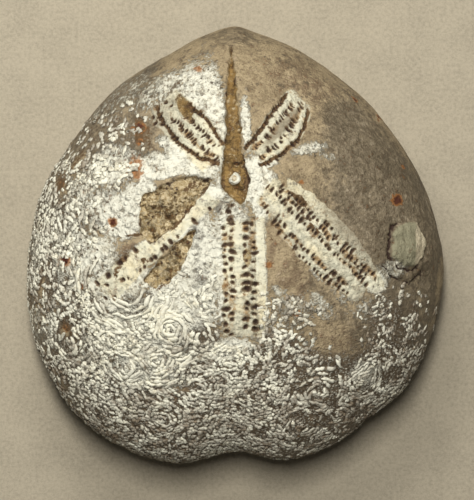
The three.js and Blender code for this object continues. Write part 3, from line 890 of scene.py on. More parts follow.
def around(directions, offsets):
    """Directions of the points that lie offsets (two numbers in mm) from a centre, along its surface.

    The offset in mm is turned into a change of direction by inverting how fast the carried point moves.
    """
    step = 1e-3
    helper = np.where(np.abs(directions[..., 2:]) < 0.9, [[0.0, 0.0, 1.0]], [[1.0, 0.0, 0.0]])
    first = unit(np.cross(helper, directions))
    second = np.cross(directions, first)
    here = carried(directions)
    by_first = (carried(unit(directions + step * first)) - here) / step
    by_second = (carried(unit(directions + step * second)) - here) / step
    east = unit(by_first)
    north = unit(by_second - east * (by_second * east).sum(-1, keepdims=True))
    a = (by_first * east).sum(-1)
    b = (by_second * east).sum(-1)
    c = (by_first * north).sum(-1)
    d = (by_second * north).sum(-1)
    scale = 1 / (a * d - b * c)
    move_first = scale * (d * offsets[..., 0] - b * offsets[..., 1])
    move_second = scale * (a * offsets[..., 1] - c * offsets[..., 0])
    return unit(directions + move_first[..., None] * first + move_second[..., None] * second)


def likely_growth(spot, cover):
    """The chance that a ridge grows: the cover times two noises, which make it patchy and partly bald.

    There are more bald places towards the right.
    """
    patchy = 0.5 + 0.5 * ripple(spot, 4.0, 2, seed=23)
    fullness = 0.75 - 0.5 * ramp(spot[:, 0] - 0.3 * spot[:, 1], 4, 20)
    thin = ramp(ripple(spot, 3.2, 3, seed=24) + fullness, 0.0, 0.3)
    return cover * (0.9 + 0.6 * patchy) * thin


def ring_arcs(random):
    """Short arcs of the rings round every rosette: directions of their stations, ring spacing and cover.

    Ring k has a radius of k and a third spacings and is cut into equal arcs of about the ridge length, each
    moved, shortened, turned askew and waved a little by chance. An arc is kept where its own centre is the
    nearest one, more often where more silica grows, and not in bald places that noise chooses.
    """
    centres, (spacing, length, reach, skew) = rosette_centres(random)
    number = np.arange(len(centres))
    centre, ring = (grid.ravel() for grid in np.meshgrid(number, np.arange(RING_COUNT), indexing="ij"))
    radius = (ring + FIRST_RING) * spacing[centre]
    near = radius < RING_REACH * reach[centre]
    centre, radius = centre[near], radius[near]
    cuts = np.maximum(1, np.rint(2 * np.pi * radius / length[centre])).astype(int)
    row = np.repeat(np.arange(len(radius)), cuts)
    part = np.arange(len(row)) - np.repeat(np.cumsum(cuts) - cuts, cuts)
    centre, radius, cuts = centre[row], radius[row], cuts[row]
    middle = 2 * np.pi * (part + RIDGE_SHIFT * random.uniform(-1, 1, len(row))) / cuts
    middle = middle + chance(row) * 2 * np.pi
    half = np.minimum(np.pi / cuts * random.uniform(*RIDGE_LENGTHS, len(row)), LONGEST_HALF_ARC)
    radius = radius + spacing[centre] * random.normal(0, 1, len(row)) * skew[centre]

    along = np.linspace(-1, 1, STATIONS)
    angle = middle[:, None] + half[:, None] * along
    outward = np.stack([np.cos(middle), np.sin(middle)], -1)[:, None]
    askew = (random.normal(0, 1, len(row)) * skew[centre])[:, None, None] * along[:, None]
    askew = askew * (radius * half)[:, None, None]
    offsets = radius[:, None, None] * np.stack([np.cos(angle), np.sin(angle)], -1) + askew * outward
    spread = np.broadcast_to(centres[centre][:, None], offsets.shape[:2] + (3,))
    rough = carried(around(spread, offsets))
    sway = np.stack([
        sum(relief(rough, reach_of_wave, size, 1, seed + k) for size, reach_of_wave, seed in RIDGE_SWAYS)
        for k in (0, 1)
    ], -1)
    stations = around(spread, offsets + sway)

    spot = carried(stations[:, STATIONS // 2])
    cores = carried(centres)
    apart = (spot**2).sum(1)[:, None] + (cores**2).sum(1) - 2 * spot @ cores.T
    apart = np.sqrt(np.maximum(apart, 0)) / reach
    own = apart[np.arange(len(spot)), centre] < apart.min(1) + NEIGHBOUR_OVERLAP
    cover = silica_cover(spot)
    kept = own & (random.uniform(0, 1, len(spot)) < likely_growth(spot, cover)) & (cover > LEAST_COVER)
    return stations[kept], spacing[centre][kept], cover[kept]


def ridge_tubes(stations, spacing, cover, random):
    """Closed ridges: an oval section carried along each arc, wide as part of the ring spacing, half sunk.

    The half width at station s from -1 to 1 is the full one times the square root of 1 minus s to the
    fourth, with lumps by chance. Each ridge has a tint, darker off the white patches and to the front.
    """
    count = len(stations)
    flat = stations.reshape(-1, 3)
    base = carried(flat)
    normals = facing(flat)
    height, marks = surface(base, normals)
    base = (base + normals * height[:, None]).reshape(count, STATIONS, 3)
    bare = 1 - marks["white"].reshape(count, STATIONS).mean(1)
    sooty = marks["sooty"].reshape(count, STATIONS).mean(1)
    normals = normals.reshape(count, STATIONS, 3)
    base = base + random.normal(0, RIDGE_SCATTER, base.shape) * spacing[:, None, None]
    tangent = unit(np.gradient(base, axis=1))
    side = unit(np.cross(normals, tangent))
    s = np.linspace(-0.93, 0.93, STATIONS)
    taper = np.sqrt(1 - s**4)[None, :, None]
    half_width = (spacing * random.uniform(*RIDGE_HALF_WIDTHS, count))[:, None, None]
    rise = (spacing * random.uniform(*RIDGE_RISES, count) * (0.6 + 0.4 * cover))[:, None, None]
    turn = 2 * np.pi * np.arange(SIDES) / SIDES
    sine, cosine = np.sin(turn), np.cos(turn)
    lift = np.where(sine > 0, sine, sine * 0.5)
    lumps = 1 + RIDGE_LUMPS * random.uniform(-1, 1, (count, STATIONS, 1))
    sideways = side[:, :, None] * (half_width * taper * lumps * cosine)[..., None]
    upwards = normals[:, :, None] * (rise * taper * lumps * lift)[..., None]
    rings = base[:, :, None] + (sideways + upwards)
    tips = base[:, [0, -1]] + tangent[:, [0, -1]] * np.array([-1, 1])[None, :, None] * half_width * 0.6
    points = np.concatenate([rings.reshape(count, -1, 3), tips], axis=1)
    # crest is one on a ridge's upper half and nought at its foot; the material paints dirt and shade where
    # it is low
    crest = np.broadcast_to(np.clip(lift, 0, 1), (count, STATIONS, SIDES)).reshape(count, -1)
    crest = np.concatenate([crest, np.zeros((count, 2))], axis=1)
    spot = base[:, STATIONS // 2]
    shade = 0.42 * random.uniform(0, 1, count) ** 1.4 + 0.45 * bare + 0.42 * ripple(spot, 1.8, 2, seed=32)
    shade = shade + 0.05 * ramp(spot[:, 0], 8, 20) + 0.2 * ramp(-spot[:, 1], 16, 28)
    marks = {"tint": shade, "sooty": sooty}
    marks = {mark: np.broadcast_to(values[:, None], crest.shape) for mark, values in marks.items()}
    return points, {"crest": crest, **marks}


def tube_faces(count):
    """Faces of closed tubes: rings of four-cornered faces, and a fan of three-cornered ones at each end."""
    ring = np.arange(SIDES)
    after = (ring + 1) % SIDES
    start = np.arange(STATIONS - 1)[:, None] * SIDES
    walls = np.stack([start + ring, start + after, start + SIDES + after, start + SIDES + ring], -1)
    last = (STATIONS - 1) * SIDES
    none = np.full(SIDES, -1)
    first_tip = np.stack([after, ring, np.full(SIDES, STATIONS * SIDES), none], -1)
    last_tip = np.stack([last + ring, last + after, np.full(SIDES, STATIONS * SIDES + 1), none], -1)
    one = np.concatenate([walls.reshape(-1, 4), first_tip, last_tip])
    shift = np.arange(count)[:, None, None] * (STATIONS * SIDES + 2)
    return np.where(one[None] < 0, -1, one[None] + shift).reshape(-1, 4)


# ---------------------------------------------------------------------------------------------
# Materials
# ---------------------------------------------------------------------------------------------


class Wire:
    """A value in a material: a node's output that arithmetic can be written on."""

    def __init__(self, paint, socket):
        self.paint = paint
        self.socket = socket

    def math(self, operation, *values):
        """The wire of a Math node that does an operation on values or wires."""
        return self.paint.node("ShaderNodeMath", {"operation": operation}, dict(enumerate(values)))

    def __add__(self, other):
        return self.math("ADD", self, other)

    def __sub__(self, other):
        return self.math("SUBTRACT", self, other)

    def __rsub__(self, other):
        return self.math("SUBTRACT", other, self)

    def __mul__(self, other):
        return self.math("MULTIPLY", self, other)

    __radd__ = __add__
    __rmul__ = __mul__

    def ramp(self, low, high):
        """Nought below low, one above high, and a smooth S between them."""
        values = {"Value": self, "From Min": low, "From Max": high}
        return self.paint.node("ShaderNodeMapRange", {"interpolation_type": "SMOOTHSTEP"}, values)


class Paint:
    """Builds one material's nodes."""

    def __init__(self, name):
        self.material = bpy.data.materials.new(name)
        self.material.use_nodes = True
        self.tree = self.material.node_tree
        self.shader = self.tree.nodes["Principled BSDF"]

    def node(self, kind, settings=None, values=None, output=0):
        """Adds a node: its settings first, then the values or wires of its input sockets."""
        made = self.tree.nodes.new(kind)
        for key, setting in (settings or {}).items():
            setattr(made, key, setting)
        for key, value in (values or {}).items():
            self.connect(value, made.inputs[key])
        return Wire(self, made.outputs[output])

    def connect(self, value, socket):
        """Links a wire to a socket, or sets a plain value on it."""
        if isinstance(value, Wire):
            self.tree.links.new(value.socket, socket)
        else:
            socket.default_value = value

    def mark(self, name):
        """A marking stored on the mesh's points."""
        return self.node("ShaderNodeAttribute", {"attribute_name": name}, output="Fac")

    def place(self):
        """The place on the piece, in mm."""
        metres = self.node("ShaderNodeTexCoord", output="Object")
        return self.node("ShaderNodeVectorMath", {"operation": "SCALE"}, {0: metres, "Scale": 1000.0})

    def noise(self, place, size, detail=2.0, roughness=0.5):
        """Noise from about -1 to 1 with features of the given size in mm."""
        values = {"Vector": place, "Scale": 1.0 / size, "Detail": detail, "Roughness": roughness}
        return (self.node("ShaderNodeTexNoise", None, values) - 0.5) * 2.0

    def cells(self, place, size, feature="F1", output="Distance"):
        """Cell pattern: distance to the nearest cell spot or edge as a share of the cell size."""
        return self.node(
            "ShaderNodeTexVoronoi", {"feature": feature}, {"Vector": place, "Scale": 1.0 / size}, output
        )

    def jostled(self, place, size, reach):
        """The place pushed about by noise of the given size, by up to reach mm."""
        values = {"Vector": place, "Scale": 1.0 / size, "Detail": 1.0}
        push = self.node("ShaderNodeTexNoise", None, values, "Color")
        push = self.node("ShaderNodeVectorMath", {"operation": "SUBTRACT"}, {0: push, 1: (0.5, 0.5, 0.5)})
        push = self.node("ShaderNodeVectorMath", {"operation": "SCALE"}, {0: push, "Scale": 2.0 * reach})
        return self.node("ShaderNodeVectorMath", {"operation": "ADD"}, {0: place, 1: push})

    def stretched(self, place, degrees, times):
        """The place turned in plan and then squeezed along Y, so that what is laid on it is stretched."""
        turn = (0.0, 0.0, np.radians(degrees))
        values = {"Vector": place, "Rotation": turn, "Scale": (1.0, 1.0 / times, 1.0)}
        return self.node("ShaderNodeMapping", {"vector_type": "POINT"}, values)

    def mix(self, below, above_it, share):
        """Colour above_it laid over colour below by a share from nought to one."""
        values = {"Factor": share, 6: as_colour(below), 7: as_colour(above_it)}
        return self.node("ShaderNodeMix", {"data_type": "RGBA"}, values, output=2)

    def finish(self, colour, roughness, bump_height):
        """Joins colour, roughness and a height in mm to the material's shader."""
        values = {"Strength": 1.0, "Distance": MILLIMETRE, "Height": bump_height}
        bump = self.node("ShaderNodeBump", None, values)
        self.connect(colour, self.shader.inputs["Base Color"])
        self.connect(roughness, self.shader.inputs["Roughness"])
        self.connect(bump, self.shader.inputs["Normal"])
        return self.material


def as_colour(value):
    """A colour property or three numbers as the four numbers a socket takes."""
    return value if isinstance(value, Wire) else (*value[:3], 1.0)


def sooted(paint, place, colour, share, looks):
    """Dark dirt laid over a colour in ragged patches of one or two mm, the same ones on every material."""
    coarse = paint.noise(paint.jostled(place, 1.6, 0.5), 1.7, 3.0, 0.6)
    small = paint.noise(place, 0.6, 3.0, 0.65)
    patches = (coarse * 1.1 + small * 0.9).ramp(0.12, 0.55)
    soot = paint.mix(looks.dirt_and_shade, looks.patina, (small * 1.2 + coarse * 0.4).ramp(-0.15, 1.1))
    return paint.mix(colour, soot, patches * share)


class Grain:
    """The noises that break up the test's colours, named for their size, and patterns made of them."""

    def __init__(self, paint):
        self.paint = paint
        self.place = paint.place()
        self.broad = paint.noise(self.place, 5.0, 4.0, 0.6)
        self.middling = paint.noise(self.place, 1.5, 5.0, 0.65)
        self.fine = paint.noise(self.place, 0.5, 4.0, 0.7)
        self.grit = paint.noise(self.place, 0.24, 3.0, 0.7)
        self.other = paint.noise(paint.jostled(self.place, 0.8, 0.3), 0.75, 3.0, 0.6)
        self.specks = paint.cells(self.place, 0.95)
        self.dusty = self.together(other=-0.8, fine=0.6, grit=0.4).ramp(0.22, 0.55)
        self.chalky = self.together(middling=0.6, other=0.9, fine=0.7, grit=0.5)
        self.creases = self.creased()

    def creased(self):
        """Thin winding creases, where a noise passes through nought, kept in some places only."""
        creases = self.paint.noise(self.paint.jostled(self.place, 1.0, 0.35), 0.95, 2.0, 0.5)
        creases = 1.0 - creases.math("ABSOLUTE", creases).ramp(0.02, 0.16)
        return creases * self.together(self.middling, fine=0.5).ramp(-0.2, 0.3)

    def together(self, start=None, **amounts):
        """The start, if there is one, plus each named noise times its amount."""
        total = start
        for name, amount in amounts.items():
            part = getattr(self, name) * amount
            total = part if total is None else total + part
        return total

    def broken(self, mark, low, high, **amounts):
        """The share of a marking, its edge broken up: a ramp of the marking plus the named noises."""
        return self.together(self.paint.mark(mark), **amounts).ramp(low, high)

    def bubbles(self, push, reach, size):
        """How far inside an irregular cell a place is: one half less the distance to the cell's spot."""
        return 0.5 - self.paint.cells(self.paint.jostled(self.place, push, reach), size)


def bare_test(paint, looks, grain, grey_share):
    """The bare test: tan and brown calcite and grey patina, with specks, hairlines and soil."""
    tone = grain.together(broad=0.7, middling=0.9, fine=1.1, grit=0.8)
    calcite = paint.mix(looks.calcite_light, looks.calcite_dark, (tone + 0.15).ramp(-0.75, 1.05))
    calcite = paint.mix(calcite, looks.brown, grain.broken("brown", 0.45, 1.0, middling=0.7, fine=0.4))
    pale = grain.together(grain.other, fine=0.7) - 0.1
    calcite = paint.mix(calcite, looks.calcite_pale, pale.ramp(0.1, 0.45) * 0.75)
    grey = paint.mix(looks.patina, looks.patina_dark_and_shade, (tone + grain.other * 0.6 + 0.05).ramp(-0.6, 0.9))
    pale = grain.together(other=-0.8, fine=0.8, broad=-0.5)
    grey = paint.mix(grey, looks.patina_pale, pale.ramp(0.05, 0.5) * 0.85)
    colour = paint.mix(calcite, grey, grey_share)
    colour = paint.mix(colour, looks.dark_speck, grain.dusty * 0.6)
    speckled = (0.24 - grain.specks).ramp(0.0, 0.1) * grain.middling.ramp(0.0, 0.4)
    colour = paint.mix(colour, looks.dark_speck, speckled * 0.8)
    hairlines = paint.cells(paint.jostled(grain.place, 1.3, 0.5), 3.4, "DISTANCE_TO_EDGE")
    hairlines = (0.02 - hairlines).ramp(0.0, 0.015) * (grain.middling + grain.fine).ramp(-0.1, 0.3)
    colour = paint.mix(colour, looks.dark_speck, hairlines * 0.5)
    soil = grain.together(fine=0.8, middling=0.5, grit=0.5).ramp(-0.3, 0.7)
    soil = paint.mix(looks.dirt_and_shade, looks.patina, soil)
    return paint.mix(colour, soil, grain.broken("silica", 0.15, 0.6, middling=0.4, fine=0.3))


def white_parts(paint, grain):
    """The share of white silica: its marking, flaky and in places streaked, held back where ridges grow."""
    streaks = paint.noise(paint.stretched(grain.place, -45.0, 4.0), 0.5, 4.0, 0.6) * paint.mark("streaky")
    flaky = grain.together(middling=0.5, fine=0.75, grit=0.4, broad=0.35) + streaks * 0.9
    share = paint.mark("white") * 1.35 + flaky - paint.mark("silica") * 0.45 - 0.56
    return share.ramp(-0.12, 0.26)


def chalk_colour(paint, looks, grain):
    """The white silica's own colour: warm in places, with grey shadows and smudges."""
    warm = grain.together(grain.broad, middling=0.6, other=0.7)
    chalk = paint.mix(looks.chalk, looks.chalk_warm, warm.ramp(-0.1, 0.9) * 0.75)
    shadow = grain.chalky * 0.8 + grain.broad * 0.9 + paint.mark("smudge") * 0.7
    return paint.mix(chalk, looks.chalk_shadow, shadow.ramp(0.05, 0.8))


def silica_skin(paint, looks, grain, colour, chalk, white_share, nubs):
    """White silica laid over a colour, with dark patina and painted shade in its creases, freckles, and
    then nubs and dirt.
    """
    colour = paint.mix(colour, chalk, white_share)
    # dark patina and painted shade: the sunk creases of the white silica are darkened
    colour = paint.mix(colour, looks.patina_dark_and_shade, grain.creases * white_share * 0.5)
    freckles = (0.27 - grain.specks).ramp(0.0, 0.08) * grain.fine.ramp(-0.05, 0.2)
    freckles = freckles * (paint.mark("sooty") + 0.2)
    colour = paint.mix(colour, looks.dirt_and_shade, freckles * white_share)
    whiter = grain.together(middling=0.8, fine=0.6) + paint.mark("white")
    nub_colour = paint.mix(looks.silica_grey, chalk, whiter.ramp(0.0, 1.1))
    colour = paint.mix(colour, nub_colour, nubs * (grain.fine + 0.5).ramp(-0.2, 0.6))
    return sooted(paint, grain.place, colour, paint.mark("sooty"), looks)


def petal_plates(paint, looks, grain, colour, grey_share):
    """The petals' cream plates laid over a colour: brown by their pores, grey where no white is near."""
    warm = grain.together(grain.broad, middling=0.8).ramp(-0.1, 0.5)
    plates = paint.mix(looks.plate, looks.chalk_warm, warm)
    plates = paint.mix(plates, looks.chalk_shadow, grain.chalky.ramp(0.0, 0.8))
    plates = paint.mix(plates, looks.halo, grain.broken("halo", 0.35, 0.95, middling=0.6, fine=0.7) * 0.9)
    plates = paint.mix(plates, looks.patina, grey_share * (1.0 - paint.mark("white")) * 0.8)
    share = grain.together(paint.mark("plates") * 1.2, fine=0.9, middling=0.8, grit=0.3) - 0.75
    return paint.mix(colour, plates, share.ramp(-0.2, 0.25))


def sediment(paint, looks, grain, colour):
    """Sediment laid over a colour: pale sand with darker sand and dark holes, and umber in the split."""
    sandy = grain.together(middling=0.6, fine=1.1, grit=0.9)
    sand = paint.mix(looks.ochre_pale, looks.ochre, sandy.ramp(-0.55, 0.3))
    shaded = grain.together(broad=0.9, middling=1.1, fine=0.9, other=0.6)
    sand = paint.mix(sand, looks.ochre_dark, shaded.ramp(-0.15, 0.6))
    holes = (0.33 - grain.specks + grain.fine * 0.1).ramp(0.0, 0.1)
    sand = paint.mix(sand, looks.pore, holes * (grain.fine + grain.middling).ramp(-0.2, 0.3))
    shaded = grain.together(middling=1.3, fine=1.1, grit=0.7)
    umber = paint.mix(looks.umber, looks.ochre_dark, shaded.ramp(-0.25, 0.6))
    umber = paint.mix(umber, looks.ochre_pale, (grain.other - grain.fine * 0.6).ramp(0.12, 0.5) * 0.6)
    sand = paint.mix(sand, umber, paint.mark("umber"))
    return paint.mix(colour, sand, grain.broken("ochre", 0.45, 0.65, middling=0.3, fine=0.3))


def small_parts(paint, looks, grain, colour, chalk):
    """Laid over a colour: painted shade at the sunken floors' edges, grooves, knob, shell, iron and brown
    stains, pores and gap.
    """
    # painted shade: the band just inside the sunken floors' edges takes the pores' dark colour
    edge = grain.broken("edge", 0.4, 0.95, fine=0.8, middling=0.6)
    colour = paint.mix(colour, looks.pore, edge * 0.85)
    colour = paint.mix(colour, looks.groove, grain.broken("grooves", 0.25, 0.65, fine=0.7, middling=0.5))
    colour = paint.mix(colour, chalk, grain.broken("knob", 0.2, 0.6, fine=0.3))
    cream = grain.broken("cream", 0.3, 0.8, middling=0.4, fine=0.3)
    shell = paint.mix(looks.shell, looks.shell_edge, cream)
    tarnish = grain.together(grain.other, fine=0.7, middling=0.4).ramp(0.05, 0.8)
    shell = paint.mix(shell, looks.patina_dark_and_shade, tarnish * 0.7)
    colour = paint.mix(colour, shell, grain.broken("shell", 0.3, 0.7, fine=0.3))
    halo = grain.broken("rust", 0.08, 0.36, fine=0.4, middling=0.3)
    colour = paint.mix(colour, looks.rust_halo, halo * 0.85)
    colour = paint.mix(colour, looks.rust, grain.broken("rust", 0.36, 0.62, fine=0.4, middling=0.3))
    colour = paint.mix(colour, looks.groove, grain.broken("stain", 0.5, 0.75, fine=0.9, middling=0.6))
    rim = grain.broken("pores", 0.08, 0.4, fine=0.35, middling=0.2)
    colour = paint.mix(colour, looks.groove, rim * 0.9)
    colour = paint.mix(colour, looks.pore, grain.broken("pores", 0.32, 0.8, fine=0.6, grit=0.4))
    return paint.mix(colour, looks.pore, grain.broken("gap", 0.35, 0.75, fine=0.5))


def test_material(looks):
    """The weathered test: calcite and patina, then silica, plates, sediment and small parts over them."""
    paint = Paint("weathered_test_finish")
    grain = Grain(paint)
    grey_share = grain.broken("grey", 0.22, 0.78, broad=0.35, middling=0.5, fine=0.3)
    white_share = white_parts(paint, grain)
    chalk = chalk_colour(paint, looks, grain)
    crusted = paint.mark("silica") - paint.mark("white") * 0.4
    crusted = grain.together(crusted, middling=0.6, fine=0.3).ramp(0.1, 0.6)
    nubs = grain.bubbles(0.5, 0.3, 0.4).ramp(-0.05, 0.3) * crusted

    colour = bare_test(paint, looks, grain, grey_share)
    colour = silica_skin(paint, looks, grain, colour, chalk, white_share, nubs)
    colour = petal_plates(paint, looks, grain, colour, grey_share)
    colour = sediment(paint, looks, grain, colour)
    colour = small_parts(paint, looks, grain, colour, chalk)

    rough = 0.62 + white_share * 0.2 + grain.fine * 0.1
    lumps = grain.bubbles(0.9, 0.4, 0.85).ramp(-0.15, 0.45) * white_share * (1.0 - paint.mark("plates"))
    bump = grain.together(lumps * 0.3, fine=0.17, middling=0.18, grit=0.08)
    bump = bump + white_share * 0.09 + nubs * 0.12
    bump = bump - grain.creases * white_share * 0.08 - grain.dusty * 0.06
    bump = bump - grain.chalky * white_share * 0.08
    return paint.finish(colour, rough, bump)


def silica_material(looks):
    """Ridges of silica: chalk white on top, with dirt and painted shade down their sides."""
    paint = Paint("silica_finish")
    place = paint.place()
    broad = paint.noise(place, 4.0, 3.0, 0.6)
    middling = paint.noise(place, 1.2, 3.0, 0.6)
    fine = paint.noise(place, 0.35, 3.0, 0.6)
    tone = paint.mark("tint") + broad * 0.35 + middling * 0.35 + fine * 0.45
    chalk = paint.mix(looks.silica_white, looks.chalk_warm, (broad + fine).ramp(-0.2, 0.8) * 0.6)
    chalk = paint.mix(chalk, looks.silica_grey, tone.ramp(0.1, 0.9))
    chalk = paint.mix(chalk, looks.stain, (tone + middling * 0.3).ramp(0.65, 1.2) * 0.9)
    chalk = sooted(paint, place, chalk, paint.mark("sooty"), looks)
    # dirt and painted shade: below its crest each ridge's sides and foot take the dark dirt colour
    colour = paint.mix(looks.dirt_and_shade, chalk, (paint.mark("crest") + fine * 0.4).ramp(-0.05, 0.6))
    return paint.finish(colour, 0.8 + fine * 0.08, fine * 0.06)


# ---------------------------------------------------------------------------------------------
# The stage, in metres
# ---------------------------------------------------------------------------------------------

CAMERA_AT = 0.00022, -0.00067
OVERHEAD_AT, OVERHEAD_SIZE = (-0.01, 0.09, 0.5), (0.04, 0.14)
REAR_AT, REAR_SIZE = (-0.03, 0.11, 0.18), (0.08, 0.08)
LIT_POINT = 0.0, 0.0, 0.015
LIGHT_COLOUR = 1.0, 0.97, 0.92
FLOOR_TOOTH = 0.66  # brightness of the darkest fibres beside that of the floor

# ---------------------------------------------------------------------------------------------
# Settings a user would change
# ---------------------------------------------------------------------------------------------


def colour_setting(name, description, *default):
    """A colour property with a default in linear red, green and blue."""
    return bpy.props.FloatVectorProperty(
        name=name, description=description, subtype="COLOR", size=3, min=0, max=1, default=default
    )


class UrchinLooks(bpy.types.PropertyGroup):
    """Colours of the fossil."""

    calcite_light: colour_setting("Calcite light", "Pale tan of the smooth test", 0.53, 0.42, 0.255)
    calcite_dark: colour_setting("Calcite dark", "Darker tan of the smooth test", 0.2, 0.148, 0.08)
    calcite_pale: colour_setting("Calcite pale", "Pale flecks in the smooth test", 0.62, 0.5, 0.34)
    brown: colour_setting("Brown", "Brown stain between the petals", 0.21, 0.145, 0.083)
    patina: colour_setting("Patina", "Grey patina of the rims", 0.26, 0.208, 0.132)
    patina_pale: colour_setting("Patina pale", "Pale flecks in the grey", 0.42, 0.355, 0.25)
    # this colour is also painted shade in the creases of the white silica
    patina_dark_and_shade: colour_setting("Patina dark", "Darkest grey of the rims", 0.1, 0.078, 0.045)
    dark_speck: colour_setting("Specks", "Small dark specks in the calcite", 0.07, 0.045, 0.025)
    chalk: colour_setting("Chalk", "White silica", 0.82, 0.81, 0.68)
    chalk_warm: colour_setting("Chalk warm", "Yellower parts of the silica", 0.78, 0.7, 0.47)
    chalk_shadow: colour_setting("Chalk shadow", "Greyer parts of the silica", 0.31, 0.3, 0.255)
    plate: colour_setting("Plate", "Cream plates of the petals", 0.76, 0.735, 0.56)
    silica_white: colour_setting("Silica white", "Cleanest ridges", 0.86, 0.85, 0.71)
    silica_grey: colour_setting("Silica grey", "Greyer ridges", 0.4, 0.37, 0.3)
    stain: colour_setting("Stain", "Brown stain on some of the ridges", 0.24, 0.185, 0.12)
    # this dark colour is also painted shade down the sides and foot of the silica ridges
    dirt_and_shade: colour_setting("Dirt", "Dirt between the ridges", 0.08, 0.055, 0.03)
    ochre: colour_setting("Ochre", "Sandy sediment in the hollows", 0.36, 0.26, 0.115)
    ochre_dark: colour_setting("Ochre dark", "Darker sediment", 0.085, 0.05, 0.016)
    ochre_pale: colour_setting("Ochre pale", "Pale grains in the sediment", 0.68, 0.58, 0.38)
    umber: colour_setting("Umber", "Rust brown sediment in the split", 0.28, 0.175, 0.055)
    halo: colour_setting("Halo", "Brown stain around the pores", 0.36, 0.22, 0.09)
    groove: colour_setting("Groove", "Brown grooves of the petals", 0.14, 0.082, 0.034)
    pore: colour_setting("Pore", "Dark inside of pores", 0.042, 0.02, 0.011)
    rust: colour_setting("Rust", "Iron stains", 0.09, 0.02, 0.006)
    rust_halo: colour_setting("Rust halo", "Orange edge of the iron stains", 0.37, 0.145, 0.03)
    shell: colour_setting("Shell", "Greenish grey of the encrusting shell", 0.33, 0.31, 0.2)
    shell_edge: colour_setting("Shell edge", "Cream edge of the encrusting shell", 0.68, 0.6, 0.42)


class UrchinStage(bpy.types.PropertyGroup):
    """Floor, lights and camera."""

    floor_colour: colour_setting("Floor", "Pale floor", 0.487, 0.433, 0.325)
    floor_size: bpy.props.FloatProperty(
        name="Floor size", description="Side of the square floor", default=2.4, unit="LENGTH"
    )
    overhead_power: bpy.props.FloatProperty(
        name="Overhead light", description="Power of the light above", default=1.75, unit="POWER"
    )
    rear_power: bpy.props.FloatProperty(
        name="Rear light", description="Power of the lower light at the rear", default=0.22, unit="POWER"
    )
    sky: bpy.props.FloatProperty(name="Sky", description="Strength of the even fill light", default=0.05)
    camera_height: bpy.props.FloatProperty(
        name="Camera height", description="Height over the floor", default=0.463, unit="LENGTH"
    )
    lens: bpy.props.FloatProperty(name="Lens", description="Focal length in mm", default=216.8)


# ---------------------------------------------------------------------------------------------
# Operators
# ---------------------------------------------------------------------------------------------


class URCHIN_OT_weathered_test(bpy.types.Operator):
    """Build the weathered test that stands for the solid stone"""

    bl_idname = "urchin.weathered_test"
    bl_label = "Weathered Test"

    def execute(self, context):
        directions, faces = test_mesh()
        points = carried(directions)
        normals = facing(directions)
        height, marks = surface(points, normals)
        points = seated(points + normals * height[:, None])
        piece = write_mesh("weathered_test", points, faces, marks)
        piece.data.materials.append(test_material(context.scene.urchin_looks))
        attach(piece, "root")
        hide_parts(STONE_NODE)
        return {"FINISHED"}


class URCHIN_OT_silica_ridges(bpy.types.Operator):
    """Build the ridges and beads of silica that crust the test"""

    bl_idname = "urchin.silica_ridges"
    bl_label = "Silica Ridges"

    def execute(self, context):
        random = np.random.default_rng(SEED)
        stations, spacing, cover = ring_arcs(random)
        points, ridge_marks = ridge_tubes(stations, spacing, cover, random)
        points = seated(points)
        angle = np.degrees(np.arctan2(points[:, 0, 1], points[:, 0, 0])) % 360
        material = silica_material(context.scene.urchin_looks)
        for name, low, high in SILICA_SECTORS:
            here = (angle >= low) & (angle < high)
            if not here.any():
                raise RuntimeError(f"no ridges in {name}")
            marks = {mark: values[here] for mark, values in ridge_marks.items()}
            piece = write_mesh(name, points[here].reshape(-1, 3), tube_faces(int(here.sum())), marks)
            piece.data.materials.append(material)
            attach(piece, "root")
        return {"FINISHED"}


class URCHIN_OT_stage(bpy.types.Operator):
    """Build the floor, the lights and the camera"""

    bl_idname = "urchin.stage"
    bl_label = "Stage"

    def execute(self, context):
        scene = context.scene
        stage = scene.urchin_stage
        half = stage.floor_size / 2
        corners = half * np.array([(-1, -1, 0), (1, -1, 0), (1, 1, 0), (-1, 1, 0)]) / MILLIMETRE
        floor = write_mesh("floor", corners, np.array([[0, 1, 2, 3]]), {})
        floor.data.materials.append(floor_material(stage))

        add_lamp("overhead_light", OVERHEAD_AT, OVERHEAD_SIZE, stage.overhead_power)
        add_lamp("rear_light", REAR_AT, REAR_SIZE, stage.rear_power)

        world = bpy.data.worlds.new("studio")
        world.use_nodes = True
        background = world.node_tree.nodes["Background"]
        background.inputs["Color"].default_value = (*LIGHT_COLOUR, 1.0)
        background.inputs["Strength"].default_value = stage.sky
        scene.world = world
        scene.view_settings.view_transform = "Standard"

        camera = bpy.data.objects.new("camera", bpy.data.cameras.new("camera"))
        camera.location = (*CAMERA_AT, stage.camera_height)
        camera.data.lens = stage.lens
        scene.collection.objects.link(camera)
        scene.camera = camera
        return {"FINISHED"}


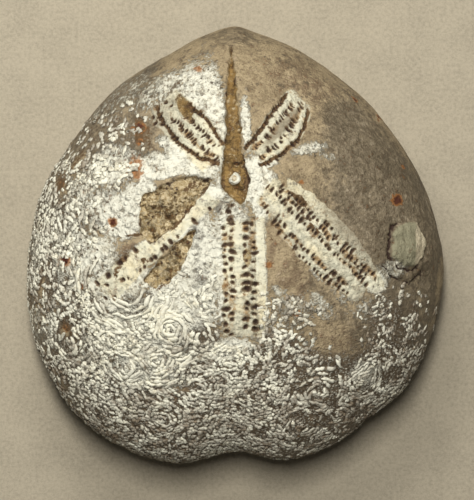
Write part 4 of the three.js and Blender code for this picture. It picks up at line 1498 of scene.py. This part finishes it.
def add_lamp(name, place, size, power):
    """Adds an oblong soft light that shines at the test and that the camera doesn't see."""
    lamp = bpy.data.objects.new(name, bpy.data.lights.new(name, "AREA"))
    lamp.data.shape = "RECTANGLE"
    lamp.data.energy = power
    lamp.data.size, lamp.data.size_y = size
    lamp.data.color = LIGHT_COLOUR
    lamp.location = place
    lamp.rotation_euler = (Vector(LIT_POINT) - lamp.location).to_track_quat("-Z", "Y").to_euler()
    lamp.visible_camera = False
    bpy.context.scene.collection.objects.link(lamp)


def floor_material(stage):
    """A plain pale floor with a faint paper tooth."""
    paint = Paint("floor_paper")
    place = paint.place()
    tooth = paint.noise(place, 0.55, 4.0, 0.85) + paint.noise(place, 5.0, 2.0) * 0.25
    shade = [FLOOR_TOOTH * part for part in stage.floor_colour]
    colour = paint.mix(stage.floor_colour, shade, tooth.ramp(-0.35, 0.6))
    return paint.finish(colour, 0.9, tooth * 0.06)


class URCHIN_PT_panel(bpy.types.Panel):
    """Lists the pieces and their settings"""

    bl_label = "Fossil Urchin"
    bl_space_type = "VIEW_3D"
    bl_region_type = "UI"
    bl_category = "Fossil Urchin"

    def draw(self, context):
        for operator in STEPS:
            self.layout.operator(operator.bl_idname)
        for settings in (context.scene.urchin_looks, context.scene.urchin_stage):
            for name in settings.__annotations__:
                self.layout.prop(settings, name)


STEPS = (URCHIN_OT_weathered_test, URCHIN_OT_silica_ridges, URCHIN_OT_stage)
CLASSES = (UrchinLooks, UrchinStage, *STEPS, URCHIN_PT_panel)


def register():
    """Registers the classes and hangs the settings on the scene."""
    for each in CLASSES:
        bpy.utils.register_class(each)
    bpy.types.Scene.urchin_looks = bpy.props.PointerProperty(type=UrchinLooks)
    bpy.types.Scene.urchin_stage = bpy.props.PointerProperty(type=UrchinStage)


def unregister():
    """Takes the settings and the classes away again."""
    del bpy.types.Scene.urchin_stage
    del bpy.types.Scene.urchin_looks
    for each in reversed(CLASSES):
        bpy.utils.unregister_class(each)


def main():
    """Builds every piece."""
    register()
    bpy.ops.urchin.weathered_test()
    bpy.ops.urchin.silica_ridges()
    bpy.ops.urchin.stage()


if __name__ == "__main__":
    main()
